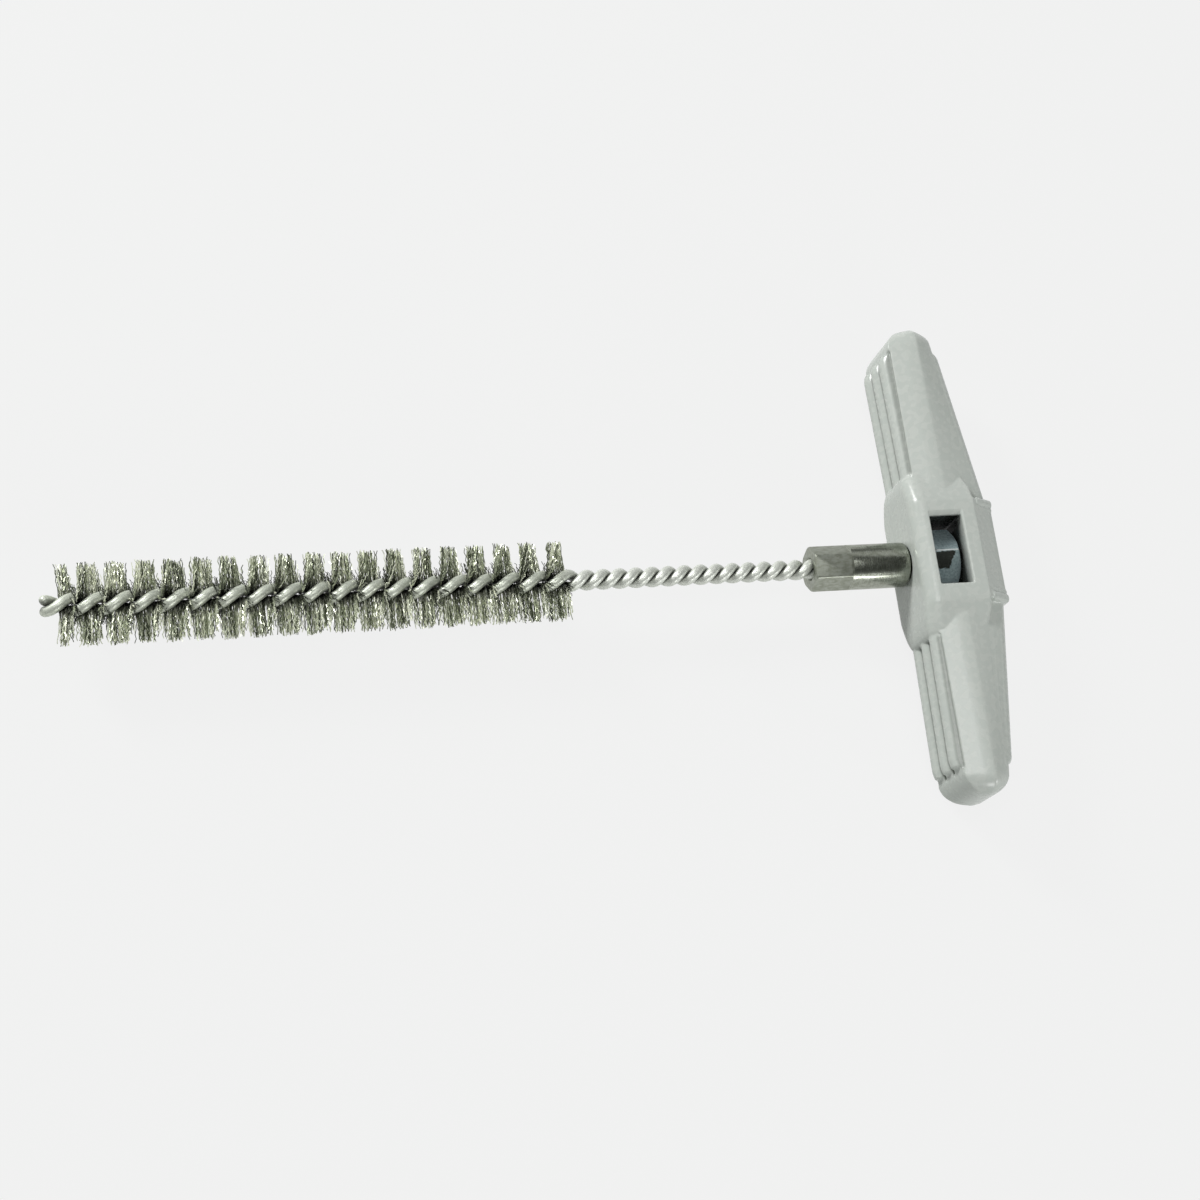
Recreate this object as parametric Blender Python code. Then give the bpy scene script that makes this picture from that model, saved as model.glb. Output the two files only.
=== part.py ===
"""Borehole cleaning brush with a T-handle.

A moulded T-handle traps a hexagon nut in a window through its hub. The nut holds the
threaded stud of a ferrule, and the ferrule is crimped on two steel wires that are twisted
together. The twist clamps the bristles, which stand out in one tuft for each half turn.

Every piece is modelled around one reference point, on the brush's axis where the axis meets
the hub's front face: +X points to the back of the handle, +Y runs along the grip, and +Z is
the upper side when the brush lies on a table. The piece's object then carries that point to
its place over the middle of the footprint.
"""
import math
import random

import bmesh
import bpy
from mathutils import Vector

MM = 0.001

# Clearances between separate pieces
SEAT_GAP = 0.3 * MM
WIRE_GAP = 0.3 * MM
BORE_PLAY = 0.35 * MM

# Nut, M8
NUT_ACROSS_FLATS = 13.0 * MM
NUT_HEIGHT = 6.5 * MM
NUT_CHAMFER_WIDTH = 0.3 * MM
NUT_CHAMFER_SLOPE = math.tan(math.radians(30.0))
NUT_MOUTH_CHAMFER = 0.4 * MM
THREAD_PITCH_DIAMETER = 7.2 * MM
NUT_TURN = math.radians(-4.0)

# Hub
HUB_LENGTH = 38.0 * MM
HUB_THICKNESS = 20.0 * MM
HUB_SIDE_DEPTH = 14.5 * MM
HUB_DEPTH = 20.1 * MM
HUB_BACK_WIDTH = 12.6 * MM
HUB_BACK_LENGTH = 23.4 * MM
HUB_BACK_INSET = 0.05 * MM
HUB_CORNER_RADIUS = 3.0 * MM
HUB_END_SLOPE_LENGTH = 6.2 * MM
HUB_END_DROP = 2.6 * MM
HUB_END_ROUNDING = 0.7 * MM
HUB_END_SHARES = (0.06, 0.86)
FRONT_WALL = 3.6 * MM
NUT_FRONT_PLAY = 0.7 * MM
NUT_END_PLAY = 0.35 * MM
NUT_CORNER_PLAY = 0.5 * MM
STUD_HOLE_DIAMETER = 8.4 * MM
BEAD_WIDTH = 1.9 * MM
BEAD_HEIGHT = 0.45 * MM
BEAD_START_DEPTH = 15.6 * MM
BEAD_OVERHANG = 0.3 * MM

# Grip arms
GRIP_LENGTH = 109.0 * MM
END_ROUNDING = 4.5 * MM
FRONT_END_ROUNDING = 6.2 * MM
RIB_SETBACK = 6.3 * MM
ARM_THICKNESS = 18.4 * MM
ARM_CREST_DEPTH = 7.8 * MM
ARM_FACE_DEPTH = 1.8 * MM
ARM_SHOULDER_DEPTH = 1.7 * MM
ARM_ROOT_DEPTH = 19.6 * MM
ARM_END_DEPTH = 14.3 * MM
RIB_RADIUS = 2.2 * MM
RIB_SPACING = 4.78 * MM
RIB_SHOULDER = 7.0 * MM
RIB_OVERLAP = 0.12 * MM
FRONT_RIB_ROOT_DEPTH = 0.9 * MM
FRONT_RIB_END_DEPTH = 0.2 * MM
FRONT_RIB_TAPER_LENGTH = 4.6 * MM
FRONT_RIB_TAPER_DROP = 0.95 * MM
BACK_RIB_HEIGHT = 1.3 * MM
BACK_RIB_TAPER_LENGTH = 1.7 * MM
BACK_RIB_TAPER_DROP = 0.9 * MM

# Points of the arm's side, as shares of the way to the crest and of its rise over the ribs
ARM_FRONT_SHARES = ((0.0, 0.14), (0.25, 0.40), (0.88, 0.92))
ARM_BACK_SHARES = ((0.08, 0.95), (0.45, 0.58), (0.78, 0.20), (1.0, -0.30))

# Ferrule and stud
FERRULE_DIAMETER = 10.0 * MM
FERRULE_LENGTH = 22.0 * MM
FERRULE_RIM_CHAMFER = 0.3 * MM
FERRULE_SHOULDER_CHAMFER_RADIAL = 0.4 * MM
FERRULE_SHOULDER_CHAMFER_AXIAL = 0.5 * MM
CRIMP_LENGTH = 8.4 * MM
CRIMP_RUN_OUT = 0.4 * MM
CRIMP_TURN = math.radians(12.0)
WIRE_BORE_DEPTH = 10.0 * MM
STUD_SHORT_OF_NUT = 0.5 * MM
STUD_CHAMFER = 0.5 * MM

# Twisted core
WIRE_DIAMETER = 2.0 * MM
STEM_LENGTH = 54.9 * MM
STEM_PITCH = 7.28 * MM
BRUSH_PITCH = 11.52 * MM
PITCH_CHANGE_LENGTH = 3.0 * MM
WIRE_TIP_LENGTH = 3.8 * MM
WIRE_POINTS_PER_TURN = 8
WIRE_OVERRUN = 1.6 * MM

# Bristles
BRUSH_DIAMETER = 17.6 * MM
BRISTLED_LENGTH = 106.1 * MM
BAND_THICKNESS = 0.4 * MM
BAND_HALF_WIDTH = 2.0 * MM
FIRST_TUFT_CENTRE = 2.0 * MM
STRANDS_PER_HALF_TURN = 12
STRAND_PULL = math.radians(38.0)
STRAND_GATHER = 0.2
STRAND_SWAY = 0.05 * MM
STRAND_LENGTH_SPREAD = 0.5 * MM

# Fineness of round shapes
ROUND_SIDES = 24
RIB_SIDES = 6
CORNER_STEPS = 4
CAP_STEPS = 4
SMOOTH_ANGLE = math.radians(38.0)

# Places that follow from the sizes
NUT_START = FRONT_WALL + NUT_FRONT_PLAY
NUT_END = NUT_START + NUT_HEIGHT
NUT_CORNER_RADIUS = NUT_ACROSS_FLATS / 2 / math.cos(math.pi / 6)
WINDOW_END = NUT_END + NUT_END_PLAY
WINDOW_HALF_LENGTH = NUT_CORNER_RADIUS + NUT_CORNER_PLAY
STUD_RADIUS = (THREAD_PITCH_DIAMETER - SEAT_GAP) / 2
NUT_BORE_RADIUS = STUD_RADIUS + SEAT_GAP
STUD_END = NUT_END - STUD_SHORT_OF_NUT
FERRULE_END = SEAT_GAP + FERRULE_LENGTH
WIRE_RADIUS = WIRE_DIAMETER / 2
CHORD = math.cos(math.pi / WIRE_POINTS_PER_TURN)
STEM_HELIX_RADIUS = (WIRE_DIAMETER + WIRE_GAP) / 2 / CHORD
BRUSH_HELIX_RADIUS = (WIRE_DIAMETER + BAND_THICKNESS + 2 * WIRE_GAP) / 2 / CHORD
WIRE_BORE_RADIUS = STEM_HELIX_RADIUS + WIRE_RADIUS + BORE_PLAY
BRUSH_START = FERRULE_END + STEM_LENGTH
BRUSH_END = BRUSH_START + BRISTLED_LENGTH
TIP_REACH = BRUSH_END + WIRE_TIP_LENGTH
WIRE_ROOT = FERRULE_END - WIRE_BORE_DEPTH + SEAT_GAP
STEM_TURN_RATE = 2 * math.pi / STEM_PITCH
BRUSH_TURN_RATE = 2 * math.pi / BRUSH_PITCH
ARM_ROOT = HUB_BACK_LENGTH / 2
RIB_END = GRIP_LENGTH / 2 - RIB_SETBACK
AXIS_POINT = Vector(((TIP_REACH - HUB_DEPTH - BEAD_HEIGHT) / 2, 0.0, HUB_THICKNESS / 2))


def clear_scene():
    for item in list(bpy.data.objects):
        bpy.data.objects.remove(item, do_unlink=True)


def make_material(name, colour, roughness, metallic):
    material = bpy.data.materials.new(name)
    material.use_nodes = True
    shader = material.node_tree.nodes["Principled BSDF"]
    shader.inputs["Base Color"].default_value = (*colour, 1.0)
    shader.inputs["Roughness"].default_value = roughness
    shader.inputs["Metallic"].default_value = metallic
    return material


def handle_plastic():
    return make_material("light_grey_plastic", (0.52, 0.55, 0.53), 0.42, 0.0)


def nut_zinc():
    return make_material("zinc_plated_nut", (0.36, 0.40, 0.43), 0.35, 1.0)


def ferrule_plating():
    return make_material("plated_turned_steel", (0.50, 0.50, 0.44), 0.28, 1.0)


def wire_zinc():
    return make_material("galvanised_wire", (0.62, 0.63, 0.60), 0.38, 1.0)


def bristle_steel():
    return make_material("bristle_steel", (0.33, 0.33, 0.27), 0.45, 1.0)


def finish(name, mesh, material):
    """Gives a piece its object, its place and its material."""
    for polygon in mesh.polygons:
        polygon.use_smooth = True
    mesh.set_sharp_from_angle(angle=SMOOTH_ANGLE)
    mesh.materials.clear()
    mesh.materials.append(material)
    item = bpy.data.objects.new(name, mesh)
    item.location = AXIS_POINT
    bpy.context.scene.collection.objects.link(item)
    return item


def loft(name, rings, closed=False):
    """Joins rings of points, each with as many points, into one closed mesh."""
    mesh = bpy.data.meshes.new(name)
    builder = bmesh.new()
    loops = [[builder.verts.new(point) for point in ring] for ring in rings]
    pairs = list(zip(loops, loops[1:]))
    if closed:
        pairs.append((loops[-1], loops[0]))
    for first, second in pairs:
        for index in range(len(first)):
            after = (index + 1) % len(first)
            builder.faces.new((first[index], first[after], second[after], second[index]))
    if not closed:
        builder.faces.new(list(reversed(loops[0])))
        builder.faces.new(loops[-1])
    bmesh.ops.recalc_face_normals(builder, faces=builder.faces)
    builder.to_mesh(mesh)
    builder.free()
    return mesh


def combine(body, tool_mesh, operation):
    """Joins a tool to a helper object, or cuts it away, and drops the tool."""
    tool = bpy.data.objects.new("tool", tool_mesh)
    bpy.context.scene.collection.objects.link(tool)
    modifier = body.modifiers.new("combine", "BOOLEAN")
    modifier.operation = operation
    modifier.solver = "EXACT"
    modifier.object = tool
    graph = bpy.context.evaluated_depsgraph_get()
    result = bpy.data.meshes.new_from_object(body.evaluated_get(graph))
    body.modifiers.clear()
    body.data = result
    bpy.data.objects.remove(tool, do_unlink=True)


def mirrored_outline(upper):
    """Closes an upper half outline of depth and height with its lower half."""
    lower = [(depth, -height) for depth, height in reversed(upper) if height > 0.0]
    return upper + lower


def ring_along_grip(outline, along):
    return [Vector((depth, along, height)) for depth, height in outline]


def arc(centre, radius, start, end, steps):
    """Points of a depth and height outline along an arc, angles from +X to +Z."""
    points = []
    for step in range(steps + 1):
        angle = start + (end - start) * step / steps
        points.append((centre[0] + radius * math.cos(angle), centre[1] + radius * math.sin(angle)))
    return points


def arm_share(along):
    """0 from the middle to the arm's root, rising evenly to 1 where its ribs end."""
    return max(abs(along) - ARM_ROOT, 0.0) / (RIB_END - ARM_ROOT)


def arm_depth(along):
    """Depth of the line that the arm's back rib crests follow."""
    return ARM_ROOT_DEPTH + (ARM_END_DEPTH - ARM_ROOT_DEPTH) * arm_share(along)


def rib_taper(along, length, drop):
    """How far a rib's crest has bent back into the arm, near the rib's end."""
    share = max(abs(along) - (RIB_END - length), 0.0) / length
    return drop * share ** 2


def front_rib_depth(along):
    """Depth of the front rib crests: a little forward towards the arm's end, then bent back."""
    straight = FRONT_RIB_ROOT_DEPTH + (FRONT_RIB_END_DEPTH - FRONT_RIB_ROOT_DEPTH) * arm_share(along)
    return straight + rib_taper(along, FRONT_RIB_TAPER_LENGTH, FRONT_RIB_TAPER_DROP)


def back_rib_depth(along):
    """Depth of the back rib crests, bent back into the arm at their ends."""
    return arm_depth(along) - rib_taper(along, BACK_RIB_TAPER_LENGTH, BACK_RIB_TAPER_DROP)


def rib_stations(start, length):
    """Distances along the grip for a rib's sections: its start, and its tapered end."""
    return (start, RIB_END - length, RIB_END - length / 2, RIB_END)


def arm_outline(along):
    """Plain section of the arm: a front face, sides that rise to a crest, a tapering back."""
    back = arm_depth(along) - BACK_RIB_HEIGHT
    crest = ARM_THICKNESS / 2
    rise = crest - RIB_SHOULDER
    upper = [(ARM_FACE_DEPTH, 0.0), (ARM_FACE_DEPTH, RIB_SHOULDER - RIB_OVERLAP)]
    for way, up in ARM_FRONT_SHARES:
        depth = ARM_SHOULDER_DEPTH + way * (ARM_CREST_DEPTH - ARM_SHOULDER_DEPTH)
        upper.append((depth, RIB_SHOULDER + up * rise))
    upper.append((ARM_CREST_DEPTH, crest))
    for way, up in ARM_BACK_SHARES:
        upper.append((ARM_CREST_DEPTH + way * (back - ARM_CREST_DEPTH), RIB_SHOULDER + up * rise))
    upper.append((back, 0.0))
    return mirrored_outline(upper)


def cap_rings(side):
    """Rings of one arm's end from the root outwards, rounded all round and most on its front."""
    front_start = GRIP_LENGTH / 2 - FRONT_END_ROUNDING
    start = GRIP_LENGTH / 2 - END_ROUNDING
    base = arm_outline(start)
    back = arm_depth(start) - BACK_RIB_HEIGHT
    rings = [ring_along_grip(arm_outline(front_start), side * front_start)]
    for step in range(CAP_STEPS + 1):
        angle = math.pi / 2 * step / CAP_STEPS
        along = start + END_ROUNDING * math.sin(angle)
        inset = END_ROUNDING * (1.0 - math.cos(angle))
        rest = max(FRONT_END_ROUNDING ** 2 - (along - front_start) ** 2, 0.0)
        face = ARM_FACE_DEPTH + FRONT_END_ROUNDING - math.sqrt(rest)
        deep = (back - inset - face) / (back - ARM_FACE_DEPTH)
        across = 1.0 - inset / (ARM_THICKNESS / 2)
        outline = [(face + (depth - ARM_FACE_DEPTH) * deep, height * across) for depth, height in base]
        rings.append(ring_along_grip(outline, side * along))
    return rings


def grip_bar():
    """Both arms as one bar with rounded ends."""
    low = list(reversed(cap_rings(-1)))
    middle = [ring_along_grip(arm_outline(along), along) for along in (-ARM_ROOT, ARM_ROOT)]
    return loft("grip_bar", low + middle + cap_rings(1))


def rib_outline(crest_depth, height, facing):
    """A half-round rib with its crest at a depth. facing is -1 to the front, 1 to the back."""
    centre = (crest_depth - facing * RIB_RADIUS, height)
    start = math.pi / 2 if facing < 0 else -math.pi / 2
    points = arc(centre, RIB_RADIUS, start, start + math.pi, RIB_SIDES)
    root = centre[0] - facing * RIB_RADIUS / 2
    return points + [(root, points[-1][1]), (root, points[0][1])]


def front_rib(row):
    """One front rib, which runs through the hub from end to end."""
    half = rib_stations(ARM_ROOT, FRONT_RIB_TAPER_LENGTH)
    rings = []
    for along in [-place for place in reversed(half)] + list(half):
        rings.append(ring_along_grip(rib_outline(front_rib_depth(along), row * RIB_SPACING, -1), along))
    return loft("front_rib", rings)


def back_rib(row, side):
    """One back rib, from under the hub's bead to the arm's end."""
    rings = []
    for along in rib_stations(ARM_ROOT - BEAD_WIDTH, BACK_RIB_TAPER_LENGTH):
        rings.append(ring_along_grip(rib_outline(back_rib_depth(along), row * RIB_SPACING, 1), side * along))
    return loft("back_rib", rings)


def hub_outline(half_thickness, front):
    """Section of the hub's raised block, rounded along its front corners."""
    corner = (front + HUB_CORNER_RADIUS, half_thickness - HUB_CORNER_RADIUS)
    upper = [(front, 0.0)]
    upper += arc(corner, HUB_CORNER_RADIUS, math.pi, math.pi / 2, CORNER_STEPS)
    upper += [(HUB_SIDE_DEPTH, half_thickness), (HUB_SIDE_DEPTH, 0.0)]
    return mirrored_outline(upper)


def hub_block():
    """The raised block, whose sides slope down to the arms at both ends."""
    end = HUB_LENGTH / 2
    half = HUB_THICKNESS / 2
    slope_start = end - HUB_END_SLOPE_LENGTH
    stations = [
        (slope_start - HUB_END_ROUNDING, half, 0.0),
        (slope_start + HUB_END_ROUNDING, half - HUB_END_SHARES[0] * HUB_END_DROP, 0.0),
        (end - HUB_END_ROUNDING, half - HUB_END_SHARES[1] * HUB_END_DROP, 0.0),
        (end, half - HUB_END_DROP, HUB_END_ROUNDING),
    ]
    rings = [ring_along_grip(hub_outline(height, front), -along) for along, height, front in reversed(stations)]
    rings += [ring_along_grip(hub_outline(height, front), along) for along, height, front in stations]
    return loft("hub_block", rings)


def hub_back_outline(start, offset):
    """Section of the hub's bevelled back, from a depth backwards, moved out by an offset."""
    half = HUB_THICKNESS / 2 - HUB_BACK_INSET
    slope = (half - HUB_BACK_WIDTH / 2) / (HUB_DEPTH - HUB_SIDE_DEPTH)
    side = half - slope * max(start - HUB_SIDE_DEPTH, 0.0) + offset
    back = HUB_BACK_WIDTH / 2 + offset
    upper = [(start, 0.0), (start, side)]
    if start < HUB_SIDE_DEPTH:
        upper.append((HUB_SIDE_DEPTH, half + offset))
    upper += [(HUB_DEPTH + offset, back - offset * slope), (HUB_DEPTH + offset, 0.0)]
    return mirrored_outline(upper)


def hub_back():
    outline = hub_back_outline(HUB_SIDE_DEPTH - HUB_CORNER_RADIUS, 0.0)
    half = HUB_BACK_LENGTH / 2
    return loft("hub_back", [ring_along_grip(outline, along) for along in (-half, half)])


def hub_bead(side):
    """A low bead around the hub's back where it meets an arm."""
    end = HUB_BACK_LENGTH / 2 + BEAD_OVERHANG
    stations = [
        (end - BEAD_WIDTH, 0.0),
        (end - 0.75 * BEAD_WIDTH, BEAD_HEIGHT),
        (end - 0.25 * BEAD_WIDTH, BEAD_HEIGHT),
        (end, 0.0),
    ]
    rings = [ring_along_grip(hub_back_outline(BEAD_START_DEPTH, offset), side * along) for along, offset in stations]
    return loft("hub_bead", rings)


def circle(depth, radius, sides=ROUND_SIDES, turn=0.0):
    """A ring round the brush's axis."""
    points = []
    for index in range(sides):
        angle = turn + 2 * math.pi * index / sides
        points.append(Vector((depth, radius * math.cos(angle), radius * math.sin(angle))))
    return points


def window_cutter():
    half = WINDOW_HALF_LENGTH
    outline = [(FRONT_WALL, -half), (WINDOW_END, -half), (WINDOW_END, half), (FRONT_WALL, half)]
    rings = [[Vector((x, y, z)) for x, y in outline] for z in (-HUB_THICKNESS, HUB_THICKNESS)]
    return loft("window", rings)


def stud_hole_cutter():
    overlap = NUT_HEIGHT / 2
    radius = STUD_HOLE_DIAMETER / 2
    return loft("stud_hole", [circle(-overlap, radius), circle(FRONT_WALL + overlap, radius)])


def build_handle():
    body = bpy.data.objects.new("handle_work", grip_bar())
    bpy.context.scene.collection.objects.link(body)
    for row in (-1, 0, 1):
        combine(body, front_rib(row), "UNION")
        for side in (-1, 1):
            combine(body, back_rib(row, side), "UNION")
    combine(body, hub_block(), "UNION")
    combine(body, hub_back(), "UNION")
    for side in (-1, 1):
        combine(body, hub_bead(side), "UNION")
    combine(body, window_cutter(), "DIFFERENCE")
    combine(body, stud_hole_cutter(), "DIFFERENCE")
    mesh = body.data
    bpy.data.objects.remove(body, do_unlink=True)
    return finish("handle", mesh, handle_plastic())


def hexagon_reach(angle, apothem):
    """Distance from the centre of a hexagon to its side, with flats facing angle 0."""
    sector = math.pi / 3
    folded = (angle + sector / 2) % sector - sector / 2
    return apothem / math.cos(folded)


def nut_ring(end, inward):
    """The outer edge of the nut near one end, where a cone takes the corners off."""
    apothem = NUT_ACROSS_FLATS / 2
    points = []
    for index in range(ROUND_SIDES):
        angle = 2 * math.pi * index / ROUND_SIDES
        reach = hexagon_reach(angle, apothem)
        drop = (reach - apothem + NUT_CHAMFER_WIDTH) * NUT_CHAMFER_SLOPE
        turned = angle + NUT_TURN
        points.append(Vector((end + inward * drop, reach * math.cos(turned), reach * math.sin(turned))))
    return points


def build_nut():
    face_radius = NUT_ACROSS_FLATS / 2 - NUT_CHAMFER_WIDTH
    mouth = NUT_BORE_RADIUS + NUT_MOUTH_CHAMFER
    rings = [
        circle(NUT_START + NUT_MOUTH_CHAMFER, NUT_BORE_RADIUS, turn=NUT_TURN),
        circle(NUT_START, mouth, turn=NUT_TURN),
        circle(NUT_START, face_radius, turn=NUT_TURN),
        nut_ring(NUT_START, 1),
        nut_ring(NUT_END, -1),
        circle(NUT_END, face_radius, turn=NUT_TURN),
        circle(NUT_END, mouth, turn=NUT_TURN),
        circle(NUT_END - NUT_MOUTH_CHAMFER, NUT_BORE_RADIUS, turn=NUT_TURN),
    ]
    return finish("nut", loft("nut", rings, closed=True), nut_zinc())


def crimp_ring(depth, inset):
    """A ring pressed to a hexagon whose corners keep the ferrule's own radius."""
    radius = FERRULE_DIAMETER / 2 - inset
    apothem = radius * math.cos(math.pi / 6)
    points = []
    for index in range(ROUND_SIDES):
        angle = 2 * math.pi * index / ROUND_SIDES
        reach = hexagon_reach(angle - math.pi / 6, apothem)
        turned = angle + CRIMP_TURN
        points.append(Vector((depth, reach * math.cos(turned), reach * math.sin(turned))))
    return points


def build_ferrule():
    """Turned ferrule with a blind bore for the wires, crimped six-sided, and its stud."""
    radius = FERRULE_DIAMETER / 2
    rings = [
        circle(-(FERRULE_END - WIRE_BORE_DEPTH), WIRE_BORE_RADIUS, turn=CRIMP_TURN),
        circle(-FERRULE_END, WIRE_BORE_RADIUS, turn=CRIMP_TURN),
        crimp_ring(-FERRULE_END, FERRULE_RIM_CHAMFER),
        crimp_ring(-(FERRULE_END - FERRULE_RIM_CHAMFER), 0.0),
        crimp_ring(-(FERRULE_END - CRIMP_LENGTH), 0.0),
        circle(-(FERRULE_END - CRIMP_LENGTH - CRIMP_RUN_OUT), radius, turn=CRIMP_TURN),
        circle(-(SEAT_GAP + FERRULE_SHOULDER_CHAMFER_AXIAL), radius, turn=CRIMP_TURN),
        circle(-SEAT_GAP, radius - FERRULE_SHOULDER_CHAMFER_RADIAL, turn=CRIMP_TURN),
        circle(-SEAT_GAP, STUD_RADIUS, turn=CRIMP_TURN),
        circle(STUD_END - STUD_CHAMFER, STUD_RADIUS, turn=CRIMP_TURN),
        circle(STUD_END, STUD_RADIUS - STUD_CHAMFER, turn=CRIMP_TURN),
    ]
    return finish("ferrule", loft("ferrule", rings), ferrule_plating())


def change_share(depth):
    """0 on the bare stem, rising evenly to 1 where the bristles start."""
    share = (depth - BRUSH_START) / PITCH_CHANGE_LENGTH + 1.0
    return min(max(share, 0.0), 1.0)


def brush_blend(depth):
    """0 on the bare stem, 1 in the bristles, with a smooth change between."""
    share = change_share(depth)
    return share * share * (3.0 - 2.0 * share)


def turn_rate(depth):
    """Turn of the core for each metre of depth."""
    return STEM_TURN_RATE + (BRUSH_TURN_RATE - STEM_TURN_RATE) * brush_blend(depth)


def turned_since(depth):
    """Turn of the core from the end of its plain stem to a depth: the sum of its turn rate."""
    share = change_share(depth)
    along = depth - (BRUSH_START - PITCH_CHANGE_LENGTH)
    blended = PITCH_CHANGE_LENGTH * (share ** 3 - share ** 4 / 2) + max(depth - BRUSH_START, 0.0)
    return STEM_TURN_RATE * along + (BRUSH_TURN_RATE - STEM_TURN_RATE) * blended


def core_turn(depth):
    """Angle of wire A at a depth: it faces +Z at the middle of the first tuft."""
    return math.pi / 2 + turned_since(depth) - turned_since(BRUSH_START + FIRST_TUFT_CENTRE)


def wire_path(half_turn):
    """Points along one wire, evenly spaced in its turn, from the ferrule past the tip."""
    points = []
    step = WIRE_OVERRUN / 2
    depth = WIRE_ROOT - WIRE_OVERRUN
    while depth - step < TIP_REACH + WIRE_OVERRUN:
        angle = core_turn(depth) + half_turn
        blend = brush_blend(depth)
        radius = STEM_HELIX_RADIUS + (BRUSH_HELIX_RADIUS - STEM_HELIX_RADIUS) * blend
        points.append(Vector((-depth, radius * math.cos(angle), radius * math.sin(angle))))
        step = 2 * math.pi / WIRE_POINTS_PER_TURN / turn_rate(depth)
        depth += step
    return points


def cut_square(mesh, depth, keep):
    """Shears a wire off square to the brush's axis, on the side that keep points away from."""
    builder = bmesh.new()
    builder.from_mesh(mesh)
    everything = builder.verts[:] + builder.edges[:] + builder.faces[:]
    bmesh.ops.bisect_plane(
        builder,
        geom=everything,
        dist=0.00001 * MM,
        plane_co=(-depth, 0.0, 0.0),
        plane_no=(-keep, 0.0, 0.0),
        clear_outer=True,
    )
    open_edges = [edge for edge in builder.edges if edge.is_boundary]
    bmesh.ops.holes_fill(builder, edges=open_edges, sides=0)
    bmesh.ops.recalc_face_normals(builder, faces=builder.faces)
    builder.to_mesh(mesh)
    builder.free()


def build_wire(name, half_turn):
    """One core wire: a bevelled curve along its helix, sheared square at both ends."""
    curve = bpy.data.curves.new(name, "CURVE")
    curve.dimensions = "3D"
    curve.bevel_depth = WIRE_RADIUS
    curve.bevel_resolution = 1
    curve.use_fill_caps = True
    points = wire_path(half_turn)
    spline = curve.splines.new("POLY")
    spline.points.add(len(points) - 1)
    for target, point in zip(spline.points, points):
        target.co = (*point, 1.0)
    guide = bpy.data.objects.new("guide", curve)
    bpy.context.scene.collection.objects.link(guide)
    graph = bpy.context.evaluated_depsgraph_get()
    mesh = bpy.data.meshes.new_from_object(guide.evaluated_get(graph))
    bpy.data.objects.remove(guide, do_unlink=True)
    cut_square(mesh, WIRE_ROOT, -1)
    cut_square(mesh, TIP_REACH, 1)
    return finish(name, mesh, wire_zinc())


def tuft_spans():
    """Start, end and middle depth of each tuft: one half turn of the core, cut at the brush's ends."""
    half_pitch = BRUSH_PITCH / 2
    spans = []
    middle = BRUSH_START + FIRST_TUFT_CENTRE
    while middle - half_pitch / 2 < BRUSH_END - half_pitch / 4:
        start = max(middle - half_pitch / 2, BRUSH_START)
        end = min(middle + half_pitch / 2, BRUSH_END)
        spans.append((start + SEAT_GAP / 2, end - SEAT_GAP / 2, middle))
        middle += half_pitch
    return spans


def band_frame(depth):
    """The direction that the bristles point in at a depth, and the band's own normal."""
    angle = core_turn(depth) + math.pi / 2
    out = Vector((0.0, math.cos(angle), math.sin(angle)))
    normal = Vector((0.0, -math.sin(angle), math.cos(angle)))
    return out, normal


def band_corners(builder, depth):
    """Four corners of the clamped band's section at a depth."""
    out, normal = band_frame(depth)
    centre = Vector((-depth, 0.0, 0.0))
    corners = []
    for across, through in ((1, 1), (-1, 1), (-1, -1), (1, -1)):
        offset = out * (across * BAND_HALF_WIDTH) + normal * (through * BAND_THICKNESS / 2)
        corners.append(builder.verts.new(centre + offset))
    return corners


def pulled_back(turn):
    """A strand's own turn from the tuft's middle: less than its band's, as the wires push it back."""
    kept = max(abs(turn) - STRAND_PULL, abs(turn) * (abs(turn) / (math.pi / 2)) ** 4)
    return math.copysign(kept, turn)


def strand_step(depth, middle, side, chance):
    """From a strand's root on the band's edge to its tip. side is 1 or -1, for the band's two edges."""
    turn = core_turn(depth) - core_turn(middle)
    kept = pulled_back(turn)
    angle = core_turn(middle) + math.pi / 2 + kept
    outer = BRUSH_DIAMETER / 2 - chance.uniform(0.0, STRAND_LENGTH_SPREAD)
    across = BAND_HALF_WIDTH * math.sin(turn - kept)
    reach = math.sqrt(outer ** 2 - across ** 2) - BAND_HALF_WIDTH * math.cos(turn - kept)
    shift = (depth - middle) * STRAND_GATHER + chance.uniform(-STRAND_SWAY, STRAND_SWAY)
    return Vector((shift, side * reach * math.cos(angle), side * reach * math.sin(angle)))


def add_strand(builder, root, step):
    """Grows one four-sided strand out of the band's edge."""
    tip = [builder.verts.new(corner.co + step) for corner in root]
    for index in range(4):
        after = (index + 1) % 4
        builder.faces.new((root[index], root[after], tip[after], tip[index]))
    builder.faces.new(tip)


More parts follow.
